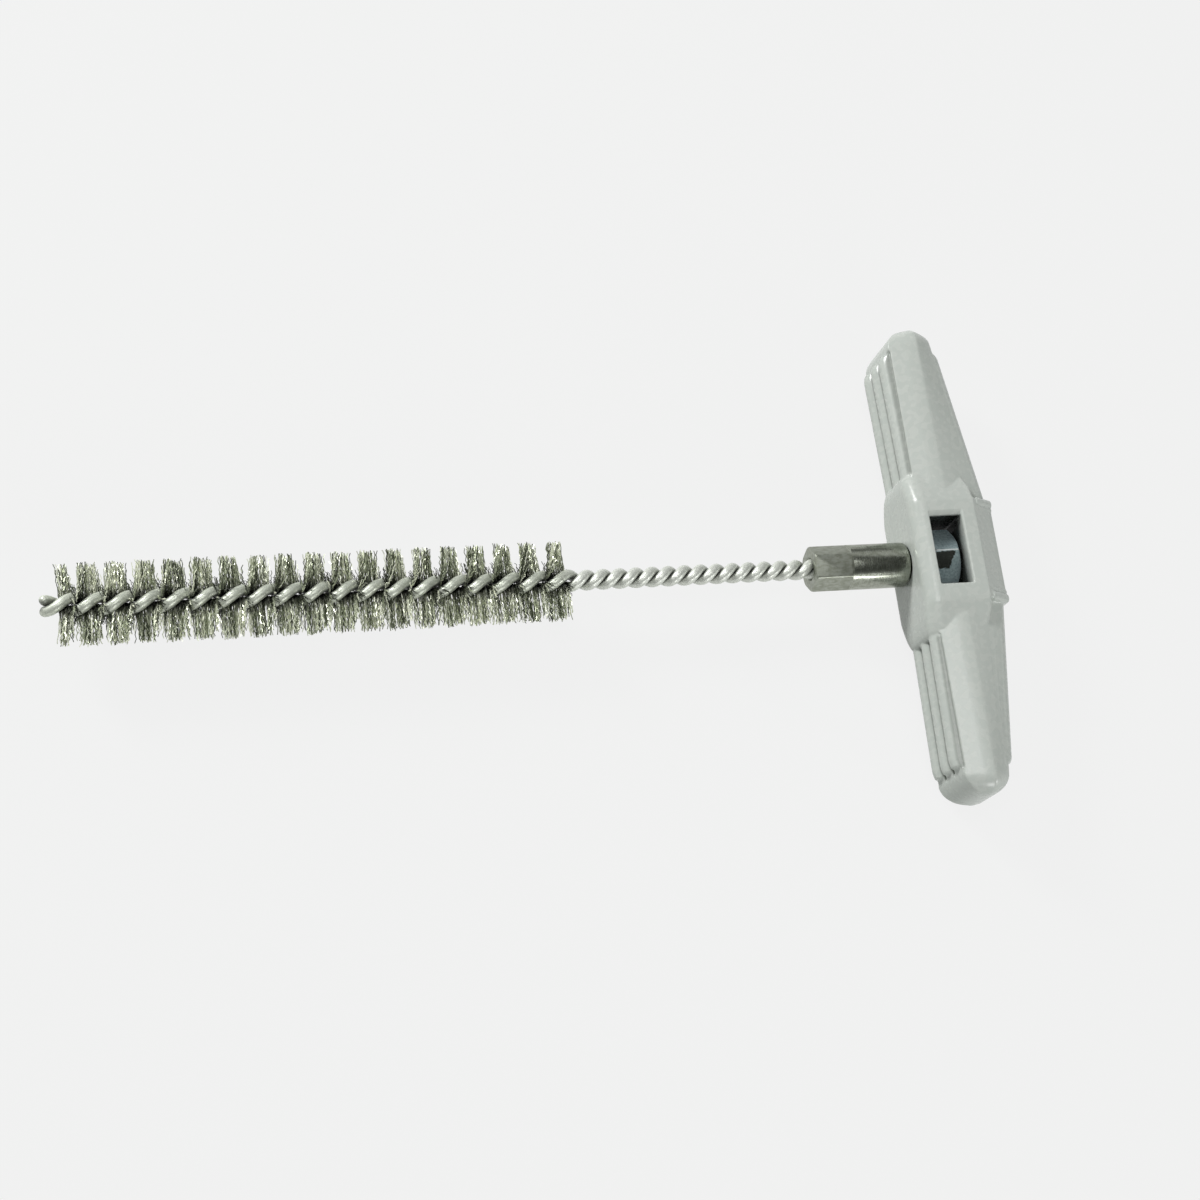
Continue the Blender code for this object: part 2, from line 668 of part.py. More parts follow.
def build_tuft(number, span):
    """The strands of one half turn, fused on the band that the wires clamp."""
    start, end, middle = span
    spacing = BRUSH_PITCH / 2 / STRANDS_PER_HALF_TURN
    strands = max(round((end - start + SEAT_GAP) / spacing), 2)
    pieces = 2 * strands - 1
    chance = random.Random(number)
    builder = bmesh.new()
    sections = [band_corners(builder, start + (end - start) * index / pieces) for index in range(pieces + 1)]
    for index in range(pieces):
        first, second = sections[index], sections[index + 1]
        builder.faces.new((first[0], first[1], second[1], second[0]))
        builder.faces.new((first[2], first[3], second[3], second[2]))
        depth = start + (end - start) * (index + 0.5) / pieces
        edges = ((first[1], first[2], second[2], second[1]), (first[3], first[0], second[0], second[3]))
        for edge, side in zip(edges, (-1, 1)):
            if index % 2 == 0:
                add_strand(builder, edge, strand_step(depth, middle, side, chance))
            else:
                builder.faces.new(edge)
    builder.faces.new(sections[0])
    builder.faces.new(list(reversed(sections[-1])))
    bmesh.ops.recalc_face_normals(builder, faces=builder.faces)
    name = f"bristle_tuft_{number:02d}"
    mesh = bpy.data.meshes.new(name)
    builder.to_mesh(mesh)
    builder.free()
    return finish(name, mesh, bristle_steel())


def main():
    clear_scene()
    build_handle()
    build_nut()
    build_ferrule()
    build_wire("core_wire_a", 0.0)
    build_wire("core_wire_b", math.pi)
    for number, span in enumerate(tuft_spans(), start=1):
        build_tuft(number, span)


main()
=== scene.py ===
"""Looks of a borehole cleaning brush with a T-handle.

The brush lies on a pale floor. A moulded handle traps a zinc plated nut in its window, the nut
holds a turned and crimped ferrule, and the ferrule holds two twisted wires with steel filaments
clamped between them. Shapes are drawn in millimetres round the place where the brush's axis
meets the hub's front face: +X to the back of the handle, +Y along the grip, +Z up.
"""
import logging
import math
import random
from collections.abc import Iterable, Sequence
from dataclasses import dataclass, field
from enum import Enum

import bmesh
import bpy
from bmesh.types import BMEdge, BMesh, BMFace, BMVert
from bpy.types import Material, Mesh, Node, NodeSocket, NodeTree, Object
from mathutils import Matrix, Vector
from mathutils.geometry import interpolate_bezier


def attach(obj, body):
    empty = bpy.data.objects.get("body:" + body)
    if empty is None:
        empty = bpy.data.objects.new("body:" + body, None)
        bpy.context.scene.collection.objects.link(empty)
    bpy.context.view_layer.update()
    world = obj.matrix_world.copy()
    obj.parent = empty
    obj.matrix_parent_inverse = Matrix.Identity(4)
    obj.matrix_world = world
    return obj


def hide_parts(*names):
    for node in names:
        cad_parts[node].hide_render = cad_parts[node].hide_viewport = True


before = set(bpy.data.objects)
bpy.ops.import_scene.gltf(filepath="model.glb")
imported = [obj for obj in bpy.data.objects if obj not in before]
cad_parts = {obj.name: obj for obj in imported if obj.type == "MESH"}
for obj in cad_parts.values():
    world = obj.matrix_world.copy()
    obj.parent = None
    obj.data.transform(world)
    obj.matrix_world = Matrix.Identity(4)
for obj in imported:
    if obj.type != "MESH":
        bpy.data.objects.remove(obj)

LOG = logging.getLogger("borehole_brush")
MM = 0.001
HUB_FRONT = Vector((0.083275, 0.0, 0.010))
BRUSH_AXIS = {"axis": (1.0, 0.0, 0.0), "cent": (0.0, 0.0, 0.0)}
# Settings of a node that lays one colour over another, or multiplies them
OVER = {"data_type": "RGBA"}
TINT = {"data_type": "RGBA", "blend_type": "MULTIPLY"}
QUARTER_TURN = 90.0
Point = tuple[float, float]
Triple = tuple[float, float, float]


class Body(Enum):
    """The bodies that pieces ride on."""

    HANDLE = "handle"
    NUT = "nut"
    BRUSH = "brush"


class Side(Enum):
    """The two ends of the grip, along Y."""

    UPPER = 1
    LOWER = -1


# Small tools for shapes


def curve_points(knots: Sequence[Point], steps: int = 14) -> list[Point]:
    """Points of a smooth outline through Bezier spans.

    Args:
        knots: knot, handle, handle, knot, handle, handle, knot and so on.
        steps: points in each span.

    Returns:
        The points in order, without doubles.
    """
    points: list[Point] = []
    for start in range(0, len(knots) - 3, 3):
        span = [Vector(knot) for knot in knots[start:start + 4]]
        points += [(place[0], place[1]) for place in interpolate_bezier(*span, steps)[:-1]]
    return points + [knots[-1]]


def mirrored(upper: Sequence[Point]) -> list[Point]:
    """Closes an upper half outline with its lower half."""
    return list(upper) + [(depth, -height) for depth, height in reversed(upper) if height > 0.0]


def across_grip(outline: Iterable[Point], along: float) -> list[Vector]:
    """Places a depth and height outline at a distance along the grip."""
    return [Vector((depth, along, height)) for depth, height in outline]


def hexagon(depth: float, half_width: float, turn: float) -> list[Vector]:
    """Corners of a hexagon across the brush's axis.

    Args:
        depth: its place along the axis.
        half_width: half its width across flats.
        turn: its turn in degrees.

    Returns:
        The corners in order.
    """
    reach = half_width / math.cos(math.pi / 6)
    angles = [math.radians(turn + 30.0 + 60.0 * index) for index in range(6)]
    return [Vector((depth, reach * math.cos(angle), reach * math.sin(angle))) for angle in angles]


def facing(direction: Vector) -> Matrix:
    """The turn that takes +Z to a direction."""
    return direction.to_track_quat("Z", "Y").to_matrix().to_4x4()


def pull(shape: BMesh, face: BMFace, keep: bool = False) -> BMFace:
    """Extrudes a face into a new end face.

    Args:
        shape: the shape.
        face: its end face.
        keep: leaves the old face in place, as the shape's base.

    Returns:
        The new end face, still in the old one's place.
    """
    grown = bmesh.ops.extrude_face_region(shape, geom=[face])["geom"]
    if not keep:
        bmesh.ops.delete(shape, geom=[face], context="FACES_ONLY")
    return next(item for item in grown if isinstance(item, BMFace))


def loft(outlines: Sequence[Sequence[Vector]]) -> BMesh:
    """Extrudes a face from outline to outline into one closed shape.

    Args:
        outlines: rings of points, each with as many points.

    Returns:
        The shape.
    """
    shape = bmesh.new()
    face = shape.faces.new([shape.verts.new(point) for point in outlines[0]])
    for number, outline in enumerate(outlines[1:]):
        face = pull(shape, face, keep=number == 0)
        for vert, point in zip(face.verts, outline):
            vert.co = point
    bmesh.ops.recalc_face_normals(shape, faces=shape.faces)
    return shape


def turned(profile: Sequence[Point], steps: int, closed: bool = False) -> BMesh:
    """Spins a profile of place and radius round the brush's axis.

    Args:
        profile: points of (x, radius).
        steps: facets of the full turn.
        closed: joins the last point to the first, for a ring.

    Returns:
        The turned shape.
    """
    shape = bmesh.new()
    verts = [shape.verts.new((x, 0.0, radius)) for x, radius in profile]
    pairs = list(zip(verts, verts[1:])) + ([(verts[-1], verts[0])] if closed else [])
    edges = [shape.edges.new(pair) for pair in pairs]
    bmesh.ops.spin(
        shape, geom=verts + edges, angle=math.tau, steps=steps, use_merge=True, **BRUSH_AXIS,
    )
    bmesh.ops.remove_doubles(shape, verts=shape.verts, dist=0.0005)
    bmesh.ops.recalc_face_normals(shape, faces=shape.faces)
    return shape


def mesh_from(shape: BMesh, name: str) -> Mesh:
    """Writes a shape to a new mesh, and frees the shape.

    Args:
        shape: the shape.
        name: the mesh's name.

    Returns:
        The mesh.
    """
    mesh = bpy.data.meshes.new(name)
    shape.to_mesh(mesh)
    shape.free()
    return mesh


def joined(shapes: Iterable[BMesh]) -> BMesh:
    """Gathers shapes into one, and frees them.

    Args:
        shapes: the shapes.

    Returns:
        The one shape.
    """
    whole = bmesh.new()
    for shape in shapes:
        part = mesh_from(shape, "part")
        whole.from_mesh(part)
        bpy.data.meshes.remove(part)
    return whole


def placed(name: str, data: bpy.types.ID) -> Object:
    """Puts a mesh, lamp or camera into the scene.

    Args:
        name: the object's name.
        data: what it shows.

    Returns:
        The object, at the origin.
    """
    item = bpy.data.objects.new(name, data)
    bpy.context.scene.collection.objects.link(item)
    return item


def piece_from(shape: BMesh, name: str) -> Object:
    """Turns a shape in millimetres into a piece in its place, with its object at the origin.

    Args:
        shape: the shape, which is freed.
        name: the piece's name.

    Returns:
        The piece.
    """
    place = Matrix.Translation(HUB_FRONT) @ Matrix.Scale(MM, 4)
    bmesh.ops.transform(shape, matrix=place, verts=shape.verts)
    return placed(name, mesh_from(shape, name))


def take_in(piece: Object, other: Object) -> None:
    """Adds another piece's shapes to a piece, and deletes the other.

    Args:
        piece: the piece that grows.
        other: the piece that goes.
    """
    whole = bmesh.new()
    for mesh in (piece.data, other.data):
        whole.from_mesh(mesh)
    whole.to_mesh(piece.data)
    whole.free()
    bpy.data.meshes.remove(other.data)


def settle(piece: Object) -> None:
    """Applies a piece's modifiers to its mesh.

    Args:
        piece: the piece.
    """
    graph = bpy.context.evaluated_depsgraph_get()
    old = piece.data
    piece.data = bpy.data.meshes.new_from_object(piece.evaluated_get(graph))
    piece.modifiers.clear()
    piece.data.name = piece.name
    bpy.data.meshes.remove(old)


def reshape(piece: Object, *modifiers: tuple[str, dict]) -> None:
    """Reshapes a piece by modifiers, which are applied together.

    Args:
        piece: the piece.
        modifiers: the type and the settings of each, in order.
    """
    for kind, settings in modifiers:
        modifier = piece.modifiers.new(kind.lower(), kind)
        for name, value in settings.items():
            setattr(modifier, name, value)
    settle(piece)


def carve(piece: Object, shape: BMesh, operation: str = "DIFFERENCE") -> None:
    """Cuts a shape away from a piece, or keeps only what both share.

    Args:
        piece: the piece that is cut.
        shape: the cutting shape in millimetres.
        operation: DIFFERENCE or INTERSECT.
    """
    bmesh.ops.recalc_face_normals(shape, faces=shape.faces)
    tool = piece_from(shape, "cutter")
    settings = {"object": tool, "operation": operation, "solver": "EXACT", "use_self": True}
    reshape(piece, ("BOOLEAN", settings))
    bpy.data.objects.remove(tool, do_unlink=True)


def wear_edges(piece: Object, width: float, angle: float) -> None:
    """Rounds the edges of a piece that use has worn.

    Args:
        piece: the piece.
        width: width of the rounding in millimetres.
        angle: the least angle in degrees of an edge that is rounded.
    """
    limit = {"limit_method": "ANGLE", "angle_limit": math.radians(angle)}
    reshape(piece, ("BEVEL", {"width": width * MM, "segments": 2, **limit}))


def melt(piece: Object, voxel: float, rounds: int) -> None:
    """Makes one skin of overlapping shapes and softens its edges, as a mould's fillets do.

    Args:
        piece: the piece.
        voxel: fineness of the skin in millimetres.
        rounds: how often the skin is smoothed.
    """
    skin = {"mode": "VOXEL", "voxel_size": voxel * MM}
    reshape(piece, ("REMESH", skin), ("SMOOTH", {"factor": 0.5, "iterations": rounds}))


def thin(piece: Object, most: int) -> None:
    """Takes faces away from a piece's flat parts.

    Args:
        piece: the piece.
        most: how many triangles it may keep.
    """
    triangles = sum(len(face.vertices) - 2 for face in piece.data.polygons)
    if triangles > most:
        reshape(piece, ("DECIMATE", {"ratio": most / triangles}))


def shade(piece: Object, angle: float) -> None:
    """Shades a piece smooth, with edges sharper than an angle in degrees kept."""
    piece.data.shade_smooth()
    piece.data.set_sharp_from_angle(angle=math.radians(angle))


def dress(piece: Object, material: Material, body: Body, slot: str, *nodes: str) -> None:
    """Gives a piece its finish and its body, and hides the nodes that it stands for.

    Args:
        piece: the piece.
        material: its finish.
        body: what it moves with.
        slot: the record's material slot; not used.
        nodes: the nodes that it replaces.
    """
    piece.data.materials.clear()
    piece.data.materials.append(material)
    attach(piece, body.value)
    if nodes:
        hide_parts(*nodes)
    LOG.info("%s: %d faces, rides on %s", piece.name, len(piece.data.polygons), body.value)


# Finishes


def linear(hex_code: str) -> tuple[float, float, float, float]:
    """Turns an sRGB hex colour into Blender's linear colour."""
    values = [int(hex_code[start:start + 2], 16) / 255 for start in (1, 3, 5)]
    return (*[v / 12.92 if v <= 0.04045 else ((v + 0.055) / 1.055) ** 2.4 for v in values], 1.0)


def feed(node: Node, **inputs: object) -> None:
    """Sets a node's inputs, by values or by links.

    Args:
        node: the node.
        inputs: a value, a socket, or a node whose first output is meant, for each input, which is
            named with _ for a space, or as iN for number N.
    """
    for name, value in inputs.items():
        index = int(name[1:]) if name[0] == "i" and name[1:].isdigit() else name.replace("_", " ")
        source = value.outputs[0] if isinstance(value, Node) else value
        if isinstance(source, NodeSocket):
            node.id_data.links.new(source, node.inputs[index])
        else:
            node.inputs[index].default_value = source


def add(tree: NodeTree, kind: str, settings: dict | None = None, **inputs: object) -> Node:
    """Adds a node with its settings, values and links.

    Args:
        tree: the material's nodes.
        kind: the node's type, without its first word ShaderNode.
        settings: its own properties, and as stops the (position, hex code or grey) pairs of a ramp.
        inputs: its inputs, as feed takes them.

    Returns:
        The node.
    """
    node = tree.nodes.new("ShaderNode" + kind)
    for name, value in (settings or {}).items():
        if name != "stops":
            setattr(node, name, value)
            continue
        elements = node.color_ramp.elements
        while len(elements) < len(value):
            elements.new(0.5)
        for element, (position, tone) in zip(elements, value):
            element.position = position
            element.color = linear(tone) if isinstance(tone, str) else (tone, tone, tone, 1.0)
    feed(node, **inputs)
    return node


def blank_material(name: str) -> tuple[Material, NodeTree, Node]:
    """A material with only its Principled shader.

    Args:
        name: the material's name.

    Returns:
        The material, its nodes and its shader.
    """
    material = bpy.data.materials.new(name)
    material.use_nodes = True
    tree = material.node_tree
    return material, tree, tree.nodes["Principled BSDF"]


def grain(tree: NodeTree, detail: float, *sizes: float) -> Node:
    """A noise over object coordinates.

    Args:
        tree: the material's nodes.
        detail: how many finer layers it has.
        sizes: its size in millimetres, or one for each axis.

    Returns:
        The noise.
    """
    steps = [1.0 / MM / size for size in (sizes if len(sizes) == 3 else sizes * 3)]
    coordinate = add(tree, "TexCoord").outputs["Object"]
    place = add(tree, "Mapping", Vector=coordinate, Scale=steps)
    return add(tree, "TexNoise", Vector=place, Detail=detail)


def hub_place(tree: NodeTree, *shares: float) -> Node:
    """Object coordinates in millimetres from the hub's front, as the shapes are drawn.

    Args:
        tree: the material's nodes.
        shares: a factor for each axis, or none where all are kept.

    Returns:
        The coordinates.
    """
    scale = Vector(shares or (1.0, 1.0, 1.0)) / MM
    coordinate = add(tree, "TexCoord").outputs["Object"]
    return add(tree, "Mapping", Vector=coordinate, Location=-scale * HUB_FRONT, Scale=scale)


def together(tree: NodeTree, operation: str, *values: object) -> Node:
    """Joins masks or measures into one.

    Args:
        tree: the material's nodes.
        operation: the arithmetic that joins them, one after another.
        values: numbers, sockets or nodes.

    Returns:
        The result.
    """
    result = values[0]
    for value in values[1:]:
        result = add(tree, "Math", {"operation": operation}, i0=result, i1=value)
    return result


def near(tree: NodeTree, value: object, band: Triple) -> Node:
    """A mask of 1 within a band's reach of its middle, which falls to 0 over its fade.

    Args:
        tree: the material's nodes.
        value: what is measured.
        band: middle, reach and fade.

    Returns:
        The mask.
    """
    middle, reach, fade = band
    away = together(tree, "SUBTRACT", value, middle)
    away = add(tree, "Math", {"operation": "ABSOLUTE"}, i0=away)
    return add(tree, "MapRange", i0=away, i1=reach, i2=reach + fade, i3=1.0, i4=0.0)


@dataclass(frozen=True)
class MouldedPlastic:
    """Injection moulded polypropylene: satin and smooth, with soft clouding, a few specks pressed into its
    skin, and painted shade in the grooves between the ribs and deep in the window.
    """

    colour: str = "#C6CBC5"
    cloud_colour: str = "#C2C8C2"
    speck_colour: str = "#9AA098"
    # Painted shade in the grooves between the ribs
    groove_shade_colour: str = "#4A5047"
    # Painted shade deep in the window, darkest by the nut
    painted_shade_colour: str = "#171A17"
    cloud: float = 7.0
    speck: float = 0.9
    roughness: float = 0.27
    gloss_spread: float = 0.02
    ior: float = 1.49
    # Middle, reach and fade of the painted groove shade in height, along the grip and in depth from the hub's
    # front
    groove: Triple = (2.39, 0.32, 0.40)
    outer_groove: Triple = (7.0, 0.25, 0.4)
    arms: Triple = (34.0, 14.6, 0.7)
    front: Triple = (0.0, 3.2, 0.6)
    outer_groove_shade: float = 0.45
    most_groove_shade: float = 0.95
    # The same of the painted shade deep in the window in depth and along the grip, and the heights where it
    # starts and is full
    window_depth: Triple = (7.4, 4.0, 0.3)
    window_width: Triple = (0.0, 9.6, 0.4)
    window_ends: Triple = (8.6, 0.75, 0.3)
    walls_from: float = 9.8
    walls_full: float = 6.6
    ends_from: float = 9.3
    ends_full: float = 8.4
    most_painted_shade: float = 0.98

    def groove_shade(self, tree: NodeTree, place: Node) -> Node:
        """How much painted shade lies at a place: full in the grooves between the ribs, a little beside them.

        Args:
            tree: the material's nodes.
            place: the distances from the hub's front and middle, separated.

        Returns:
            The mask.
        """
        depth, along, height = place.outputs
        beside = together(tree, "MULTIPLY", near(tree, height, self.outer_groove), self.outer_groove_shade)
        lines = together(tree, "MAXIMUM", near(tree, height, self.groove), beside)
        reach = near(tree, along, self.arms), near(tree, depth, self.front)
        return together(tree, "MULTIPLY", lines, *reach, self.most_groove_shade)

    def painted_shade(self, tree: NodeTree, place: Node) -> Node:
        """How much painted shade lies in the window at a place: none at its mouths, full by the nut.

        Args:
            tree: the material's nodes.
            place: the distances from the hub's front and middle, separated.

        Returns:
            The mask.
        """
        depth, along, height = place.outputs
        walls = add(
            tree, "MapRange", i0=height, i1=self.walls_from, i2=self.walls_full, i4=self.most_painted_shade,
        )
        fast = add(tree, "MapRange", i0=height, i1=self.ends_from, i2=self.ends_full)
        ends = together(tree, "MULTIPLY", near(tree, along, self.window_ends), fast)
        deep = together(tree, "MAXIMUM", walls, ends)
        window = near(tree, depth, self.window_depth), near(tree, along, self.window_width)
        return together(tree, "MULTIPLY", *window, deep)

    def make(self) -> Material:
        """Builds the material.

        Returns:
            The material.
        """
        material, tree, shader = blank_material("moulded_polypropylene")
        # Slow clouding from the melt's flow, and a few dust specks pressed into the skin
        cloud = grain(tree, 0.0, self.cloud)
        stops = ((0.35, self.cloud_colour), (0.65, self.colour))
        colour = add(tree, "ValToRGB", {"stops": stops}, Fac=cloud)
        stops = ((0.90, 0.0), (0.94, 1.0))
        specks = add(tree, "ValToRGB", {"stops": stops}, Fac=grain(tree, 1.0, self.speck))
        # Painted shade in the grooves between the ribs, and painted shade deep in the window
        distance = add(tree, "VectorMath", {"operation": "ABSOLUTE"}, i0=hub_place(tree))
        place = add(tree, "SeparateXYZ", Vector=distance)
        for mask, dirt_and_shade in (
            (specks, self.speck_colour),
            (self.groove_shade(tree, place), self.groove_shade_colour),
            (self.painted_shade(tree, place), self.painted_shade_colour),
        ):
            colour = add(tree, "Mix", OVER, i0=mask, i6=colour, i7=linear(dirt_and_shade)).outputs[2]
        stops = ((0.3, self.roughness - self.gloss_spread), (0.7, self.roughness + self.gloss_spread))
        gloss = add(tree, "ValToRGB", {"stops": stops}, Fac=cloud)
        feed(shader, Base_Color=colour, Roughness=gloss, IOR=self.ior)
        return material


@dataclass(frozen=True)
class ZincPlatedNut:
    """Cold forged steel with blue passivated zinc: bluish, with a painted highlight along one corner and a
    rough patch whose dark colour is a painted reflection of the window's dark wall.
    """

    bright: str = "#BFD1D4"
    dull: str = "#9AAFB4"
    # Painted highlight along the corner between the two flats
    edge: str = "#F0F5F4"
    # Near black of the patch: a painted reflection of the window's dark wall
    reflected_wall: str = "#1C1F1B"
    grit_colour: str = "#7F847B"
    blotch: float = 2.4
    grit: float = 0.30
    patch_end: float = 9.3
    patch_slope: float = 0.44
    patch_top: float = 0.25
    patch_bottom: float = -3.2
    # Where the painted highlight runs, and its half width
    edge_line: float = 0.52
    edge_reach: float = 0.16
    metallic: float = 0.55

    def patch(self, tree: NodeTree, place: Node, blotch: Node) -> Node:
        """Where the painted reflection of the window's dark wall lies over rough grit: under the corner that
        faces up, with a border that noise frays.

        Args:
            tree: the material's nodes.
            place: the place from the hub's front, separated.
            blotch: the noise.

        Returns:
            The mask.
        """
        x, y, _ = place.outputs
        leaning = add(tree, "Math", {"operation": "MULTIPLY_ADD"}, i0=y, i1=-self.patch_slope, i2=x)
        right = together(tree, "SUBTRACT", leaning, self.patch_end)
        above = together(tree, "SUBTRACT", y, self.patch_top)
        below = together(tree, "SUBTRACT", self.patch_bottom, y)
        frayed = together(tree, "ADD", together(tree, "MAXIMUM", right, above, below), blotch)
        return add(tree, "ValToRGB", {"stops": ((0.42, 1.0), (0.58, 0.0))}, Fac=frayed)

    def make(self) -> Material:
        """Builds the material.

        Returns:
            The material.
        """
        material, tree, shader = blank_material("zinc_plated_forged_steel")
        blotch = grain(tree, 4.0, self.blotch)
        colour = add(tree, "ValToRGB", {"stops": ((0.35, self.dull), (0.65, self.bright))}, Fac=blotch)
        grit = grain(tree, 3.0, self.grit)
        grains = add(tree, "ValToRGB", {"stops": ((0.50, self.reflected_wall), (0.70, self.grit_colour))}, Fac=grit)
        place = add(tree, "SeparateXYZ", Vector=hub_place(tree))
        # The patch: a painted reflection of the window's dark wall in its colour, with rough grit in its
        # gloss and bumps
        mask = self.patch(tree, place, blotch)
        mixed = add(tree, "Mix", OVER, i0=mask, i6=colour, i7=grains).outputs[2]
        # A painted highlight along the corner between the two flats
        edge_highlight = add(
            tree, "Math", {"operation": "COMPARE"},
            i0=place.outputs["Y"], i1=self.edge_line, i2=self.edge_reach,
        )
        shown = add(tree, "Mix", OVER, i0=edge_highlight, i6=mixed, i7=linear(self.edge)).outputs[2]
        gloss = add(tree, "ValToRGB", {"stops": ((0.0, 0.33), (1.0, 0.60))}, Fac=mask)
        deep = add(tree, "Math", {"operation": "MULTIPLY_ADD"}, i0=mask, i1=0.9, i2=0.1)
        height = together(tree, "MULTIPLY", grit, deep)
        bump = add(tree, "Bump", Height=height, Strength=0.7, Distance=0.0002)
        feed(shader, Base_Color=shown, Roughness=gloss, Normal=bump, Metallic=self.metallic)
        return material


@dataclass(frozen=True)
class TurnedSteel:
    """Free-cutting steel, turned, crimped and thinly plated: fine rings, rubbed and stained."""

    bright: str = "#A9ADA2"
    stain: str = "#93978A"
    ring: float = 0.30
    ring_run: float = 14.0
    stain_length: float = 6.0
    stain_width: float = 3.0
    crimp_edge: float = -13.9
    edge_fade: float = 0.3
    scuff: float = 0.18

    def make(self) -> Material:
        """Builds the material.

        Returns:
            The material.
        """
        material, tree, shader = blank_material("plated_turned_steel")
        # Turning leaves rings round the axis, so the pattern changes fast along X only
        rings = grain(tree, 4.0, self.ring, self.ring_run, self.ring_run)
        stains = grain(tree, 3.0, self.stain_length, self.stain_width, self.stain_width)
        colour = add(tree, "ValToRGB", {"stops": ((0.38, self.stain), (0.62, self.bright))}, Fac=stains)
        fine = add(tree, "ValToRGB", {"stops": ((0.3, 0.84), (0.7, 1.0))}, Fac=rings)
        shown = add(tree, "Mix", TINT, i0=1.0, i6=colour, i7=fine).outputs[2]
        # The die's jaws leave the crimp scuffed and duller than the turned end
        along = add(tree, "SeparateXYZ", Vector=hub_place(tree)).outputs["X"]
        start, end = self.crimp_edge - self.edge_fade, self.crimp_edge + self.edge_fade
        scuffed = add(tree, "MapRange", i0=along, i1=start, i2=end, i3=self.scuff, i4=0.0)
        gloss = add(tree, "ValToRGB", {"stops": ((0.3, 0.20), (0.7, 0.30))}, Fac=rings)
        rough = together(tree, "ADD", gloss, scuffed)
        bump = add(tree, "Bump", Height=rings, Strength=0.08, Distance=0.00005)
        feed(shader, Base_Color=shown, Roughness=rough, Normal=bump, Metallic=1.0)
        return material


@dataclass(frozen=True)
class GalvanisedWire:
    """Drawn steel wire with a bright zinc coat: pale and cloudy, with painted shade in the crevice between
    the two wires and a little among the filaments.
    """

    bright: str = "#F0F2EA"
    dull: str = "#C6CBC2"
    # Tint of the little painted shade among the filaments
    painted_shade: str = "#F4F6F0"
    # Painted shade in the crevice between the two wires, by distance from the axis
    crevice: float = 1.10
    crest: float = 1.65
    crevice_shade_tone: float = 0.36
    # Where the painted shade among the filaments starts and is full
    unshaded_from: float = -75.275
    shaded_from: float = -78.275
    cloud: float = 0.9
    metallic: float = 0.4

    def make(self) -> Material:
        """Builds the material.

        Returns:
            The material.
        """
        material, tree, shader = blank_material("galvanised_drawn_wire")
        cloud = grain(tree, 5.0, self.cloud)
        colour = add(tree, "ValToRGB", {"stops": ((0.36, self.dull), (0.64, self.bright))}, Fac=cloud)
        # A little painted shade among the filaments, none on the bare stem
        along = add(tree, "SeparateXYZ", Vector=hub_place(tree)).outputs["X"]
        painted_shade = add(tree, "MapRange", i0=along, i1=self.unshaded_from, i2=self.shaded_from)
        mixed = add(tree, "Mix", TINT, i0=painted_shade, i6=colour, i7=linear(self.painted_shade)).outputs[2]
        # Painted shade in the crevice between the two wires, darkest near the axis
        centred = hub_place(tree, 0.0, 1.0, 1.0)
        away = add(tree, "VectorMath", {"operation": "LENGTH"}, i0=centred).outputs["Value"]
        crevice_shade = add(tree, "MapRange", i0=away, i1=self.crevice, i2=self.crest, i3=self.crevice_shade_tone)
        shown = add(tree, "Mix", TINT, i0=1.0, i6=mixed, i7=crevice_shade).outputs[2]
        gloss = add(tree, "ValToRGB", {"stops": ((0.3, 0.47), (0.7, 0.33))}, Fac=cloud)
        bump = add(tree, "Bump", Height=cloud, Strength=0.25, Distance=0.0001)
        feed(shader, Base_Color=shown, Roughness=gloss, Normal=bump, Metallic=self.metallic)
        return material


@dataclass(frozen=True)
class SteelFilament:
    """Crimped steel filament: grey with an olive cast, with painted shade near the core."""

    bright: str = "#FCFFEA"
    middle: str = "#CDD5B8"
    dark: str = "#525846"
    # Near black painted shade near the core
    root: str = "#0C0E0A"
    metallic: float = 0.5
    roughness: float = 0.30

    def make(self) -> Material:
        """Builds the material, which reads each strand's tone and reach.

        Returns:
            The material.
        """
        material, tree, shader = blank_material("crimped_steel_filament")
        tone, reach = [
            add(tree, "Attribute", {"attribute_name": name}).outputs["Fac"] for name in ("tone", "reach")
        ]
        stops = ((0.22, self.dark), (0.50, self.middle), (0.72, self.bright))
        colour = add(tree, "ValToRGB", {"stops": stops}, Fac=tone)
        # Painted shade near the core, by each strand's reach
        mask = add(tree, "ValToRGB", {"stops": ((0.08, 1.0), (0.42, 0.0))}, Fac=reach)
        shown = add(tree, "Mix", OVER, i0=mask, i6=colour, i7=linear(self.root)).outputs[2]
        feed(shader, Base_Color=shown, Metallic=self.metallic, Roughness=self.roughness)
        return material


# The handle


